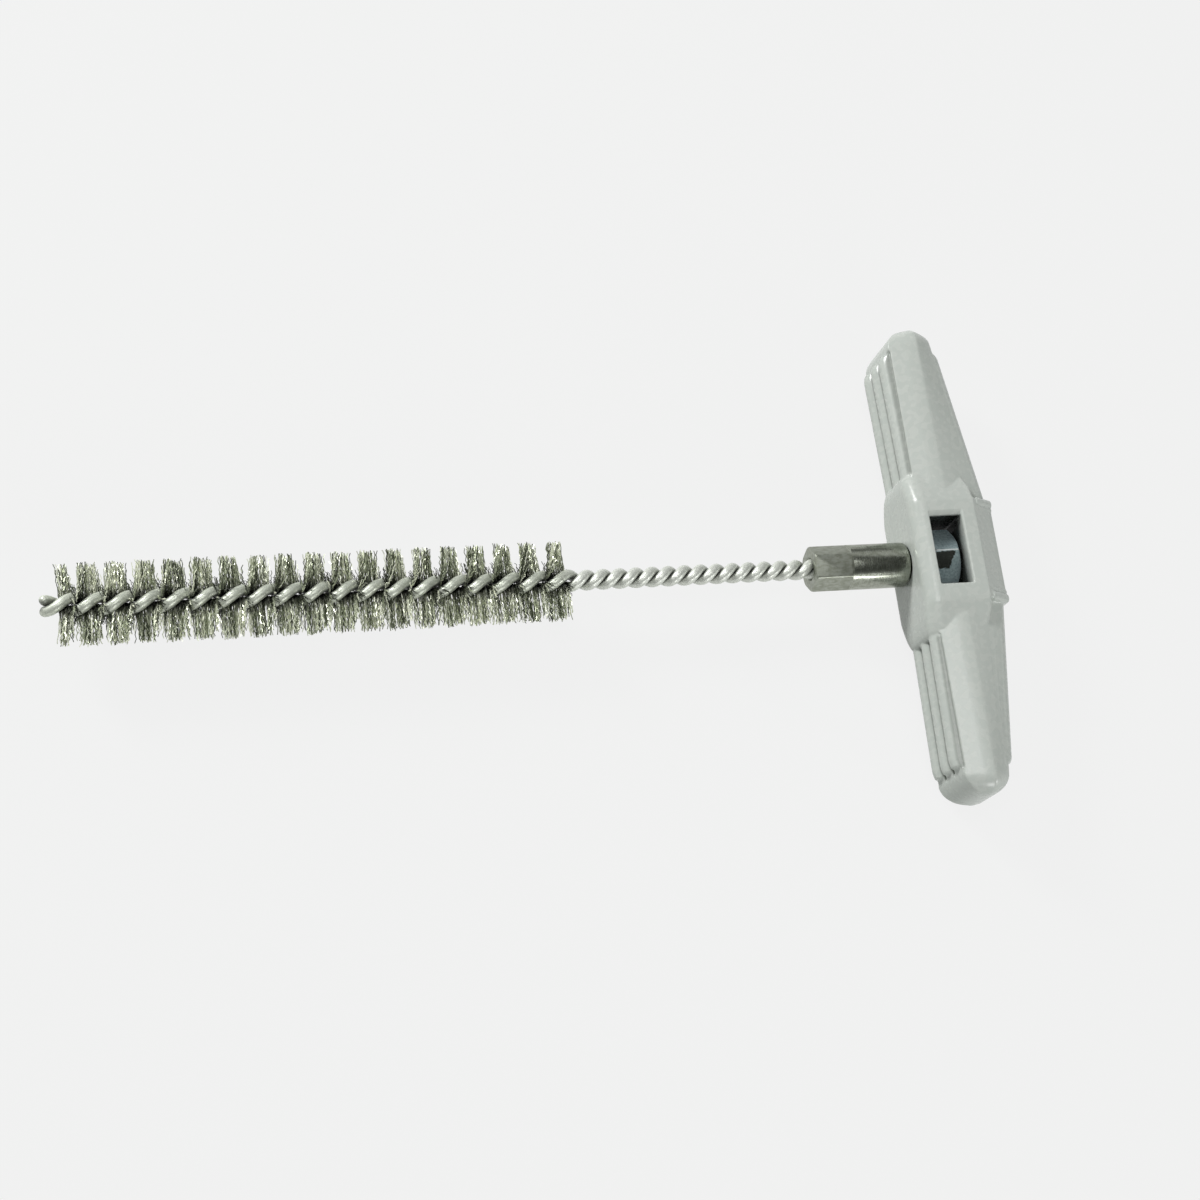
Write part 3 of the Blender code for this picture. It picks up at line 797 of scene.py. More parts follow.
@dataclass
class Handle:
    """The moulded T-handle: two ribbed arms, the hub, its window and its bevelled back."""

    grip_half: float = 54.5
    end_rounding: float = 4.5
    front_end_rounding: float = 6.2
    end_steps: int = 12
    arm_root: float = 11.7
    arm_half_thickness: float = 9.2
    crest_depth: float = 7.8
    face_depth: float = 1.8
    back_root: float = 19.6
    back_end: float = 14.3
    back_rib_height: float = 1.3
    rib_end: float = 48.2
    rib_radius: float = 2.2
    rib_spacing: float = 4.78
    rib_overlap: float = 2.0
    rib_corners: int = 64
    rib_end_fall: float = 0.22
    rib_stations: tuple[float, ...] = (0.0, 0.2, 0.4, 0.6, 0.8, 0.93, 1.0)
    front_rib_root: float = 0.9
    front_rib_end: float = 0.2
    front_taper: float = 2.6
    back_taper: float = 1.7
    taper_drop: float = 0.5
    groove_start: float = 15.5
    groove_depth: float = 3.1
    outer_groove_depth: float = 2.5
    groove_half_width: float = 0.36
    groove_floor_share: float = 0.7
    groove_overrun: float = 1.5
    hub_half_thickness: float = 10.0
    hub_side_depth: float = 14.5
    hub_depth: float = 20.1
    hub_back_half_width: float = 6.3
    hub_corner: float = 3.2
    bead_foot: float = 15.6
    window_front: float = 3.6
    window_back: float = 11.15
    window_half: float = 8.0
    window_edge: float = 0.25
    window_lip: float = 0.95
    window_lip_fall: float = 0.55
    stud_hole: float = 4.2
    stud_hole_length: float = 7.0
    stud_hole_middle: float = 1.5
    skin: float = 0.2
    soft_rounds: int = 5
    most_triangles: int = 185000
    # Of each bead round the hub's back: distance from the arm's root, width and height
    beads: tuple[Triple, ...] = ((0.65, 1.9, 0.45), (2.1, 0.7, 0.22))
    # A bead's section: place in shares of its width, height in shares of its own or under its foot
    bead_section: tuple[Point, ...] = ((-0.34, 0.75), (-0.12, 1.0), (0.12, 1.0), (0.34, 0.75))
    bead_sunk: float = -0.1
    # Place along the grip, half thickness, front depth and back depth of the hub's sloping ends
    hub_stations: tuple[tuple[float, float, float, float], ...] = (
        (11.2, 10.0, 0.0, 14.5), (11.9, 9.92, 0.0, 14.5), (13.0, 9.56, 0.0, 14.5), (14.5, 9.04, 0.0, 14.4),
        (15.8, 8.6, 0.05, 14.0), (17.0, 8.18, 0.2, 13.4), (18.0, 7.8, 0.45, 12.9), (18.7, 7.4, 0.85, 12.4),
        (19.1, 6.9, 1.3, 11.9), (19.35, 6.2, 1.9, 11.4),
    )

    def share(self, along: float) -> float:
        """0 from the middle to an arm's root, rising to 1 where its ribs end."""
        return max(abs(along) - self.arm_root, 0.0) / (self.rib_end - self.arm_root)

    def back_line(self, along: float) -> float:
        """Depth of the line that the back ribs' crests follow."""
        return self.back_root + (self.back_end - self.back_root) * self.share(along)

    def front_line(self, along: float) -> float:
        """Depth of the line that the front ribs' crests follow."""
        return self.front_rib_root + (self.front_rib_end - self.front_rib_root) * self.share(along)

    def arm_outline(self, along: float) -> list[Point]:
        """Section of an arm without its ribs: flat front, sides rising to a soft ridge, flat back.

        Args:
            along: its place along the grip.

        Returns:
            The closed outline of depth and height.
        """
        back = self.back_line(along) - self.back_rib_height
        top, crest, face = self.arm_half_thickness, self.crest_depth, self.face_depth
        run = back - crest
        # Knots and handles of the upper half: front corner, swell to the ridge, fall to the back
        knots = [
            (face, 6.9), (face, 7.15), (face - 0.05, 7.25), (face + 0.1, 7.4),
            (face + 1.6, 7.95), (crest - 3.0, 8.42), (crest - 2.0, 8.72), (crest - 1.0, 8.97),
            (crest, top - 0.07), (crest + 0.10 * run, top - 0.08), (crest + 0.22 * run, 8.94),
            (crest + 0.42 * run, 8.45), (crest + 0.70 * run, 7.62), (back - 0.7, 7.0),
            (back - 0.2, 6.75), (back, 6.5), (back, 6.0),
        ]
        return mirrored([(face, 0.0)] + curve_points(knots) + [(back, 0.0)])

    def arm(self, side: Side) -> BMesh:
        """One arm from the middle of the hub to its end, rounded all round and most on its front.

        Args:
            side: the end of the grip that it makes.

        Returns:
            The shape.
        """
        front_start = self.grip_half - self.front_end_rounding
        start = self.grip_half - self.end_rounding
        plain = (0.0, self.arm_root, front_start)
        rings = [across_grip(self.arm_outline(along), side.value * along) for along in plain]
        base = self.arm_outline(start)
        back = self.back_line(start) - self.back_rib_height
        for step in range(self.end_steps + 1):
            angle = math.pi / 2 * step / self.end_steps
            inset = self.end_rounding * (1.0 - math.cos(angle))
            along = start + self.end_rounding * math.sin(angle)
            rest = max(self.front_end_rounding ** 2 - (along - front_start) ** 2, 0.0)
            face = self.face_depth + self.front_end_rounding - math.sqrt(rest)
            deep = (back - inset - face) / (back - self.face_depth)
            across = 1.0 - inset / self.arm_half_thickness
            outline = [(face + (depth - self.face_depth) * deep, height * across) for depth, height in base]
            rings.append(across_grip(outline, side.value * along))
        return loft(rings)

    def rib(self, side: Side, row: int, front: bool) -> BMesh:
        """One rib of an arm: a round rod sunk into its front or back, bent inwards at its end.

        Args:
            side: the arm.
            row: -1, 0 or 1, from the lower rib to the upper one.
            front: puts it on the arm's front, else on its back.

        Returns:
            The shape.
        """
        line, inward, taper = self.back_line, -1.0, self.back_taper
        if front:
            line, inward, taper = self.front_line, 1.0, self.front_taper
        angles = [math.tau * corner / self.rib_corners for corner in range(self.rib_corners)]
        middle = row * self.rib_spacing
        rings = []
        for rest in self.rib_stations:
            along = self.rib_end - taper * (1.0 - rest) if rest else self.arm_root - self.rib_overlap
            radius = self.rib_radius - (self.rib_end_fall if rest == 1.0 else 0.0)
            centre = line(along) + inward * (self.rib_radius + self.taper_drop * rest ** 2)
            outline = [
                (centre + radius * math.cos(angle), middle + radius * math.sin(angle)) for angle in angles
            ]
            rings.append(across_grip(outline, side.value * along))
        return loft(rings)

    def hub_outline(self, half: float, front: float, back: float) -> list[Point]:
        """Section of the hub's block at one place along the grip.

        Args:
            half: half its thickness.
            front: depth of its front, whose corners are rounded.
            back: depth of its back.

        Returns:
            The closed outline of depth and height.
        """
        radius = min(self.hub_corner, half - 0.5)
        # The handles of a Bezier span that stands for a quarter of a circle
        bulge = 0.5523 * radius
        corner = [
            (front, half - radius), (front, half - radius + bulge),
            (front + radius - bulge, half), (front + radius, half),
        ]
        return mirrored([(front, 0.0)] + curve_points(corner) + [(back, half), (back, 0.0)])

    def hub_block(self, side: Side) -> BMesh:
        """Half of the hub's block, whose sides slope down to an arm.

        Args:
            side: the end of the grip that it faces.

        Returns:
            The shape.
        """
        rings = [across_grip(self.hub_outline(self.hub_half_thickness, 0.0, self.hub_side_depth), 0.0)]
        for along, *sizes in self.hub_stations:
            rings.append(across_grip(self.hub_outline(*sizes), side.value * along))
        return loft(rings)

    def back_outline(self, start: float, offset: float) -> list[Point]:
        """Section of the hub's bevelled back.

        Args:
            start: depth at which it starts.
            offset: how far it is moved out.

        Returns:
            The closed outline of depth and height.
        """
        half = self.hub_half_thickness - 0.05
        slope = (half - self.hub_back_half_width) / (self.hub_depth - self.hub_side_depth)
        side = half - slope * max(start - self.hub_side_depth, 0.0) + offset
        upper = [(start, 0.0), (start, side)]
        if start < self.hub_side_depth:
            upper.append((self.hub_side_depth, half + offset))
        return mirrored(upper + [
            (self.hub_depth - 1.0, self.hub_back_half_width + slope + offset),
            (self.hub_depth - 0.3 + offset, self.hub_back_half_width + 0.3),
            (self.hub_depth + offset, self.hub_back_half_width - 0.5),
            (self.hub_depth + offset, 0.0),
        ])

    def back_block(self) -> BMesh:
        """The hub's bevelled back between its two beads."""
        outline = self.back_outline(self.hub_side_depth - self.hub_corner, 0.0)
        return loft([across_grip(outline, along) for along in (-self.arm_root, self.arm_root)])

    def bead(self, side: Side, inset: float, width: float, height: float) -> BMesh:
        """A low bead round the hub's back.

        Args:
            side: the end of the hub that it is on.
            inset: its distance from the arm's root.
            width: its width at the foot.
            height: how far it stands out.

        Returns:
            The shape.
        """
        section = [(place, share * height) for place, share in self.bead_section]
        rings = []
        for place, offset in [(-0.5, self.bead_sunk), *section, (0.5, self.bead_sunk)]:
            along = side.value * (self.arm_root - inset + width * place)
            rings.append(across_grip(self.back_outline(self.bead_foot, offset), along))
        return loft(rings)

    def window(self) -> BMesh:
        """The cutter of the nut's window, with broken edges and a wider lip at one end.

        Returns:
            The shape.
        """
        # Height over the hub's side, and shares of the broken edge and of the lip at that height
        levels = (
            (2.0, 1.0, 1.0), (0.0, 1.0, 1.0),
            (-self.window_edge, 0.0, 0.55), (-self.window_lip_fall, 0.0, 0.0),
        )
        rings = []
        for way in (-1.0, 1.0):
            mouth = []
            for over, edge, lip in levels:
                grow = edge * self.window_edge
                low, high = self.window_front - grow, self.window_back + grow
                bottom, top = -self.window_half - grow, self.window_half + lip * self.window_lip
                height = way * (self.hub_half_thickness + over)
                corners = ((low, bottom), (high, bottom), (high, top), (low, top))
                mouth.append([Vector((*corner, height)) for corner in corners])
            rings += mouth if way < 0.0 else list(reversed(mouth))
        return loft(rings)

    def groove(self, side: Side, row: float) -> BMesh:
        """The cutter of one groove beside the front ribs, which ends in a small shallow pocket.

        Args:
            side: the arm.
            row: its height in rib spacings.

        Returns:
            The shape.
        """
        height = row * self.rib_spacing
        deep = self.groove_depth if abs(row) < 1.0 else self.outer_groove_depth
        # Place along the grip, depth of the floor and share of the full width
        stations = (
            (self.groove_start, deep, 1.0), (self.rib_end - 0.6, deep, 1.0), (self.rib_end + 0.1, deep, 1.25),
            (self.rib_end + self.groove_overrun, self.face_depth, 0.4),
        )
        rings = []
        for along, floor, share in stations:
            half = self.groove_half_width * share
            low = half * self.groove_floor_share
            outline = [
                (-1.0, height - half), (-1.0, height + half), (floor, height + low), (floor, height - low),
            ]
            rings.append(across_grip(outline, side.value * along))
        return loft(rings)

    def stud_bore(self) -> BMesh:
        """The cutter of the stud's hole through the hub's front wall.

        Returns:
            The shape.
        """
        shape = bmesh.new()
        run = Vector((self.stud_hole_length, 0.0, 0.0))
        place = Matrix.Translation((self.stud_hole_middle, 0.0, 0.0)) @ facing(run)
        bmesh.ops.create_cone(
            shape, cap_ends=True, segments=64, radius1=self.stud_hole, radius2=self.stud_hole,
            depth=run.length, matrix=place,
        )
        return shape

    def build(self) -> Object:
        """Models the handle: closed shapes, cut first, then melted into one skin.

        Returns:
            The piece.
        """
        arms = [self.arm(side) for side in Side]
        arms += [self.rib(side, row, front) for side in Side for row in (-1, 0, 1) for front in (True, False)]
        hub = [self.back_block()]
        for side in Side:
            hub.append(self.hub_block(side))
            hub += [self.bead(side, *sizes) for sizes in self.beads]
        piece = piece_from(joined(arms), "moulded_handle")
        carve(piece, joined([self.groove(side, row) for side in Side for row in (-1.5, -0.5, 0.5, 1.5)]))
        take_in(piece, piece_from(joined(hub), "hub"))
        carve(piece, self.window())
        carve(piece, self.stud_bore())
        melt(piece, self.skin, self.soft_rounds)
        thin(piece, self.most_triangles)
        shade(piece, 60.0)
        return piece

    def dress(self, piece: Object) -> None:
        """Gives the handle its plastic."""
        dress(piece, MouldedPlastic().make(), Body.HANDLE, "light_grey_plastic", "handle")


# The nut and the ferrule


@dataclass
class Nut:
    """The trapped M8 nut."""

    start: float = 4.3
    height: float = 6.5
    across_flats: float = 13.0
    chamfer_angle: float = 30.0
    chamfer_inset: float = 0.25
    overhang: float = 1.0
    bore: float = 3.5
    mouth: float = 0.7
    turn: float = -4.0
    facets: int = 120
    wear: float = 0.14

    def build(self) -> Object:
        """Models the nut: a turned blank with coned ends, cut to a hexagon.

        Returns:
            The piece.
        """
        flat = self.across_flats / 2
        outer = flat / math.cos(math.pi / 6) + self.overhang
        end = self.start + self.height
        face = flat - self.chamfer_inset
        drop = (outer - face) * math.tan(math.radians(self.chamfer_angle))
        profile = [
            (self.start + self.mouth, self.bore), (self.start, self.bore + self.mouth), (self.start, face),
            (self.start + drop, outer), (end - drop, outer), (end, face),
            (end, self.bore + self.mouth), (end - self.mouth, self.bore),
        ]
        piece = piece_from(turned(profile, self.facets, closed=True), "hexagon_nut")
        ends = (self.start - self.overhang, end + self.overhang)
        carve(piece, loft([hexagon(depth, flat, self.turn) for depth in ends]), "INTERSECT")
        wear_edges(piece, self.wear, 20.0)
        shade(piece, 24.0)
        return piece

    def dress(self, piece: Object) -> None:
        """Gives the nut its plating."""
        dress(piece, ZincPlatedNut().make(), Body.NUT, "zinc_plated_nut", "nut")


@dataclass
class Ferrule:
    """The turned ferrule with its crimp, its wire bore and its threaded stud."""

    seat: float = 0.3
    length: float = 22.0
    radius: float = 5.0
    facets: int = 128
    crimp_length: float = 8.4
    crimp_turn: float = -18.0
    crimp_swell: float = 0.06
    crimp_ramp: float = 0.45
    crimp_free: float = 0.3
    overhang: float = 1.0
    bore: float = 2.35
    bore_depth: float = 10.0
    stud_end: float = 10.3
    thread_outer: float = 3.9
    thread_root: float = 3.3
    thread_sunk: float = 0.1
    thread_short: float = 0.4
    pitch: float = 1.25
    steps_per_turn: int = 48
    wear: float = 0.1

    def body(self) -> BMesh:
        """The turned body with its blind bore and a plain core inside the thread.

        Returns:
            The shape.
        """
        end = -(self.seat + self.length)
        root, radius, seat = self.thread_root, self.radius, -self.seat
        # From the bore's end over the broken edges of both ends to the stud
        profile = [
            (end + self.bore_depth, 0.0), (end + self.bore_depth, self.bore), (end + 0.35, self.bore),
            (end, self.bore + 0.3), (end, radius - 0.35), (end + 0.12, radius - 0.12),
            (end + 0.4, radius), (seat - 0.55, radius), (seat - 0.18, radius - 0.14),
            (seat, radius - 0.5), (seat, root), (self.stud_end - 0.5, root),
            (self.stud_end, root - 0.4), (self.stud_end, 0.0),
        ]
        return turned(profile, self.facets)

    def crimp_mask(self) -> BMesh:
        """What the six-sided die leaves: a hexagon over the crimp that opens past the rest.

        Returns:
            The shape.
        """
        end = -(self.seat + self.length)
        pressed = self.radius * math.cos(math.pi / 6) + self.crimp_swell
        stop, free = end + self.crimp_length, self.radius + self.crimp_free
        stations = (
            (end - self.overhang, pressed), (stop, pressed),
            (stop + self.crimp_ramp, free), (self.stud_end + self.overhang, free),
        )
        return loft([hexagon(depth, half, self.crimp_turn) for depth, half in stations])

    def thread(self) -> BMesh:
        """The stud's thread, a ridge spun along its helix.

        Returns:
            The shape.
        """
        shape = bmesh.new()
        foot = self.thread_root - self.thread_sunk
        section = ((-0.44, foot), (-0.07, self.thread_outer), (0.07, self.thread_outer), (0.44, foot))
        start = -self.seat + self.pitch / 2
        ring = [shape.verts.new((start + share * self.pitch, 0.0, radius)) for share, radius in section]
        edges = [shape.edges.new(pair) for pair in zip(ring, ring[1:] + ring[:1])]
        turns = (self.stud_end - self.thread_short - start - self.pitch / 2) / self.pitch
        steps = int(turns * self.steps_per_turn)
        bmesh.ops.spin(
            shape, geom=ring + edges, angle=math.tau * steps / self.steps_per_turn, steps=steps,
            dvec=(self.pitch / self.steps_per_turn, 0.0, 0.0), **BRUSH_AXIS,
        )
        bmesh.ops.holes_fill(shape, edges=shape.edges, sides=0)
        bmesh.ops.recalc_face_normals(shape, faces=shape.faces)
        return shape

    def build(self) -> tuple[Object, Object]:
        """Models the ferrule, and the stud's thread as a piece of its own.

        Returns:
            The two pieces.
        """
        piece = piece_from(self.body(), "crimped_ferrule")
        carve(piece, self.crimp_mask(), "INTERSECT")
        wear_edges(piece, self.wear, 18.0)
        thread = piece_from(self.thread(), "stud_thread")
        for item in (piece, thread):
            shade(item, 26.0)
        return piece, thread

    def dress(self, pieces: tuple[Object, Object]) -> None:
        """Gives the ferrule and its thread their plating.

        Args:
            pieces: the two pieces.
        """
        steel = TurnedSteel().make()
        for piece, nodes in zip(pieces, (("ferrule",), ())):
            dress(piece, steel, Body.BRUSH, "plated_turned_steel", *nodes)


# The brush


@dataclass
class Core:
    """The two twisted wires, tight on the bare stem and held apart by the filaments."""

    wire_radius: float = 1.13
    stem_pitch: float = 7.28
    brush_pitch: float = 11.52
    brush_start: float = 77.2
    brush_end: float = 183.3
    tip: float = 187.1
    root: float = 12.6
    root_spare: float = 1.5
    change_length: float = 3.0
    spread: float = 0.22
    tip_rounding: float = 1.0
    tip_angle: float = 78.0
    tip_steps: int = 7
    tip_gap: float = 0.4
    first_tuft: float = 2.0
    first_angle: float = 90.0
    probe: float = 0.01
    points_per_turn: int = 26
    sides: int = 16

    def share(self, depth: float) -> float:
        """0 on the stem, 1 in the bristles, even between."""
        return min(max((depth - self.brush_start) / self.change_length + 1.0, 0.0), 1.0)

    def blend(self, depth: float) -> float:
        """0 on the stem, 1 in the bristles, smooth between."""
        share = self.share(depth)
        return share * share * (3.0 - 2.0 * share)

    def rates(self) -> tuple[float, float]:
        """Turn in each millimetre on the stem, and in the bristles."""
        return math.tau / self.stem_pitch, math.tau / self.brush_pitch

    def rate(self, depth: float) -> float:
        """Turn in each millimetre at a depth."""
        stem, brush = self.rates()
        return stem + (brush - stem) * self.blend(depth)

    def twist(self, depth: float) -> float:
        """Turn from where the pitch starts to change, which is the sum of the rates up to a depth.

        Args:
            depth: the depth.

        Returns:
            The angle.
        """
        share = self.share(depth)
        along = depth - (self.brush_start - self.change_length)
        blended = self.change_length * (share ** 3 - share ** 4 / 2) + max(depth - self.brush_start, 0.0)
        stem, brush = self.rates()
        return stem * along + (brush - stem) * blended

    def turn(self, depth: float) -> float:
        """Angle of wire A at a depth: it faces up at the middle of the first tuft."""
        start = self.twist(self.brush_start + self.first_tuft)
        return math.radians(self.first_angle) + self.twist(depth) - start

    def centre(self, depth: float, half_turn: float) -> Vector:
        """Middle of a wire, which the filaments part from the other and which closes again at the tip.

        Args:
            depth: the depth.
            half_turn: 0 for wire A, half a turn for wire B.

        Returns:
            The place.
        """
        closing = min(max((self.tip - self.tip_rounding - depth) / self.change_length, 0.0), 1.0)
        radius = self.wire_radius + self.spread * self.blend(depth) * closing
        angle = self.turn(depth) + half_turn
        return Vector((-depth, radius * math.cos(angle), radius * math.sin(angle)))

    def section_at(self, depth: float, half_turn: float, width: float) -> Matrix:
        """Place and facing of a wire's section.

        Args:
            depth: the depth.
            half_turn: 0 for wire A, half a turn for wire B.
            width: its share of the full width.

        Returns:
            The transform of a circle round the origin.
        """
        middle = self.centre(depth, half_turn)
        along = self.centre(depth + self.probe, half_turn) - self.centre(depth - self.probe, half_turn)
        out = Vector((0.0, middle.y, middle.z)).normalized()
        side = along.cross(out).normalized()
        up = side.cross(along).normalized()
        turned_to = Matrix((side, up, along.normalized())).transposed().to_4x4()
        return Matrix.Translation(middle) @ turned_to @ Matrix.Diagonal((width, width, 1.0, 1.0))

    def wire(self, half_turn: float) -> BMesh:
        """One wire: a circle extruded step by step along its helix, cut at its root, rounded at its tip.

        Args:
            half_turn: 0 for wire A, half a turn for wire B.

        Returns:
            The shape.
        """
        depths = [self.root - self.root_spare]
        while depths[-1] < self.tip - self.tip_rounding - self.tip_gap:
            depths.append(depths[-1] + math.tau / self.points_per_turn / self.rate(depths[-1]))
        widths = [1.0] * len(depths)
        for step in range(self.tip_steps + 1):
            angle = math.radians(self.tip_angle) * step / self.tip_steps
            depths.append(self.tip - self.tip_rounding * (1.0 - math.sin(angle)))
            widths.append(math.cos(angle))
        frames = [self.section_at(depth, half_turn, width) for depth, width in zip(depths, widths)]
        shape = bmesh.new()
        bmesh.ops.create_circle(
            shape, cap_ends=True, segments=self.sides, radius=self.wire_radius, matrix=frames[0],
        )
        shape.faces.ensure_lookup_table()
        face = shape.faces[0]
        for before, after in zip(frames, frames[1:]):
            face = pull(shape, face, keep=before is frames[0])
            bmesh.ops.transform(shape, matrix=after @ before.inverted(), verts=face.verts)
        cut = bmesh.ops.bisect_plane(
            shape, geom=shape.verts[:] + shape.edges[:] + shape.faces[:],
            plane_co=(-self.root, 0.0, 0.0), plane_no=(1.0, 0.0, 0.0), clear_outer=True,
        )
        edges = [item for item in cut["geom_cut"] if isinstance(item, BMEdge)]
        bmesh.ops.holes_fill(shape, edges=edges, sides=0)
        bmesh.ops.recalc_face_normals(shape, faces=shape.faces)
        return shape

    def build(self) -> list[Object]:
        """Models both wires.

        Returns:
            The two pieces.
        """
        pieces = []
        for name, half_turn in (("twisted_wire_a", 0.0), ("twisted_wire_b", math.pi)):
            pieces.append(piece_from(self.wire(half_turn), name))
            shade(pieces[-1], 40.0)
        return pieces

    def dress(self, pieces: Sequence[Object]) -> None:
        """Gives the wires their zinc.

        Args:
            pieces: the two pieces.
        """
        zinc = GalvanisedWire().make()
        for piece, node in zip(pieces, ("core_wire_a", "core_wire_b")):
            dress(piece, zinc, Body.BRUSH, "galvanised_wire", node)


@dataclass
class Filling:
    """The crimped steel filaments, one tuft for each half turn of the core."""

    core: Core
    radius: float = 8.8
    filament: float = 0.105
    bends: int = 9
    crimp: float = 0.17
    crimp_spread: Point = (0.6, 1.3)
    crimp_sway: float = 0.9
    kinds: int = 10
    per_side: int = 86
    # Angles in degrees: how far the wires push a filament back, and how unevenly it stands
    pull: float = 38.0
    lean: float = 3.8
    stray: float = 6.5
    gather: float = 0.7
    length_spread: float = 0.9
    length_share: float = 0.7
    root: float = 0.3
    root_spread: Point = (-0.2, 0.3)
    side_spread: float = 0.22
    # The short filaments that the wires bend over, painted in the core's shade, by place in the half turn,
    # angles and length
    fringe_per_side: int = 34
    fringe_place: Point = (0.45, 1.0)
    fringe_angle: Point = (12.0, 66.0)
    fringe_lean: Point = (-14.0, 30.0)
    fringe_length: Point = (2.6, 4.6)
    fringe_root: float = 0.5
    fringe_width: float = 0.8
    fringe_tone: float = 0.05
    # Shrinks the reach so that the core's painted shade covers a short filament
    fringe_shade_reach: float = 0.35
    chance: random.Random = field(default_factory=lambda: random.Random(11))

    def strand(self) -> Mesh:
        """One crimped filament of unit length, standing on the origin along Z.

        Returns:
            Its mesh.
        """
        shape = bmesh.new()
        shape.verts.layers.float.new("tone")
        reach = shape.verts.layers.float.new("reach")
        bmesh.ops.create_circle(shape, cap_ends=True, segments=3, radius=self.filament)
        shape.faces.ensure_lookup_table()
        face = shape.faces[0]
        phase = self.chance.uniform(0.0, math.tau)
        for bend in range(1, self.bends + 1):
            face = pull(shape, face, keep=bend == 1)
            sway = self.crimp * self.chance.uniform(*self.crimp_spread) * (1 if bend % 2 else -1)
            side = phase + self.chance.uniform(-self.crimp_sway, self.crimp_sway)
            middle = Vector((sway * math.cos(side), sway * math.sin(side), bend / self.bends))
            bmesh.ops.translate(shape, verts=face.verts, vec=middle - face.calc_center_median())
            for vert in face.verts:
                vert[reach] = bend / self.bends
        bmesh.ops.recalc_face_normals(shape, faces=shape.faces)
        return mesh_from(shape, "strand")

    @staticmethod
    def spot(depth: float, angle: float, radius: float) -> Vector:
        """A place at a depth, an angle and a distance from the brush's axis."""
        return Vector((-depth, 0.0, 0.0)) + Vector((0.0, math.cos(angle), math.sin(angle))) * radius

    def stand(
        self, tuft: BMesh, kinds: Sequence[Mesh], start: Vector, angle: float, lean: float,
        roll: float, width: float, length: float,
    ) -> list[BMVert]:
        """Stands one filament in a tuft.

        Args:
            tuft: the tuft.
            kinds: the filaments to choose from.
            start: where its root is.
            angle: its way round the brush's axis.
            lean: how far it leans along the axis.
            roll: its own turn.
            width: its share of the full width.
            length: its length.

        Returns:
            Its points.
        """
        out = Vector((math.sin(lean), math.cos(angle) * math.cos(lean), math.sin(angle) * math.cos(lean)))
        size = Matrix.Diagonal((width, width, length, 1.0))
        matrix = Matrix.Translation(start) @ facing(out) @ Matrix.Rotation(roll, 4, "Z") @ size
        before = len(tuft.verts)
        tuft.from_mesh(self.chance.choice(kinds))
        tuft.verts.ensure_lookup_table()
        fresh = tuft.verts[before:]
        bmesh.ops.transform(tuft, matrix=matrix, verts=fresh)
        return fresh

    def plant(
        self, tuft: BMesh, kinds: Sequence[Mesh], middle: float, place: float, half_turn: float,
    ) -> None:
        """Adds one filament to a tuft.

        Args:
            tuft: the tuft.
            kinds: the filaments to choose from.
            middle: depth of the tuft's middle.
            place: where along the half turn it stands, from -1 to 1.
            half_turn: 0 or half a turn, for the two sides.
        """
        depth = middle + place * (self.core.brush_pitch / 2) / 2
        # The wires beside a filament push it back towards the middle of its half turn
        kept = max(abs(place) * QUARTER_TURN - self.pull, abs(place) ** 5 * QUARTER_TURN)
        turn = math.radians(math.copysign(kept, place))
        angle = self.core.turn(middle) + math.pi / 2 + turn + half_turn
        angle += math.radians(self.chance.gauss(0.0, self.stray))
        lean = math.radians(self.chance.gauss(0.0, self.lean)) + math.asin(place * self.gather / self.radius)
        root = self.root + self.chance.uniform(*self.root_spread)
        aside = self.chance.uniform(-self.side_spread, self.side_spread)
        side = Vector((0.0, -math.sin(angle), math.cos(angle))) * aside
        start = self.spot(depth, angle, root) + side
        short = abs(self.chance.gauss(0.0, self.length_spread)) * self.length_share
        length = (self.radius - short) - root
        roll = self.chance.uniform(0.0, math.tau)
        fresh = self.stand(tuft, kinds, start, angle, lean, roll, 1.0, length)
        shade_of_grey = self.chance.random()
        tone = tuft.verts.layers.float["tone"]
        for vert in fresh:
            vert[tone] = shade_of_grey

    def plant_fringe(self, tuft: BMesh, kinds: Sequence[Mesh], middle: float, half_turn: float) -> None:
        """Adds one short dark filament, painted in the core's shade, which a wire has bent over at the border
        of its half turn.

        Args:
            tuft: the tuft.
            kinds: the filaments to choose from.
            middle: depth of the tuft's middle.
            half_turn: 0 or half a turn, for the two sides.
        """
        way = self.chance.choice((-1.0, 1.0))
        place = way * self.chance.uniform(*self.fringe_place)
        depth = middle + place * self.core.brush_pitch / 4
        if not self.core.brush_start < depth < self.core.brush_end:
            return
        bent = way * math.radians(self.chance.uniform(*self.fringe_angle))
        angle = self.core.turn(middle) + math.pi / 2 + half_turn + bent
        lean = -way * math.radians(self.chance.uniform(*self.fringe_lean))
        start = self.spot(depth, angle, self.fringe_root)
        length = self.chance.uniform(*self.fringe_length)
        fresh = self.stand(tuft, kinds, start, angle, lean, 0.0, self.fringe_width, length)
        # The darkest tone, and the core's painted shade over its whole length
        tone, reach = tuft.verts.layers.float["tone"], tuft.verts.layers.float["reach"]
        for vert in fresh:
            vert[tone] = self.fringe_tone
            vert[reach] *= self.fringe_shade_reach

    def tuft(self, number: int, kinds: Sequence[Mesh]) -> Object:
        """Models one tuft.

        Args:
            number: the tuft's number from the handle's side.
            kinds: the filaments to choose from.

        Returns:
            The piece.
        """
        shape = bmesh.new()
        for name in ("tone", "reach"):
            shape.verts.layers.float.new(name)
        half_pitch = self.core.brush_pitch / 2
        middle = self.core.brush_start + self.core.first_tuft + (number - 1) * half_pitch
        for half_turn in (0.0, math.pi):
            for index in range(self.per_side):
                place = 2.0 * (index + self.chance.random()) / self.per_side - 1.0
                if self.core.brush_start < middle + place * half_pitch / 2 < self.core.brush_end:
                    self.plant(shape, kinds, middle, place, half_turn)
            for _ in range(self.fringe_per_side):
                self.plant_fringe(shape, kinds, middle, half_turn)
        return piece_from(shape, f"filament_tuft_{number:02d}")

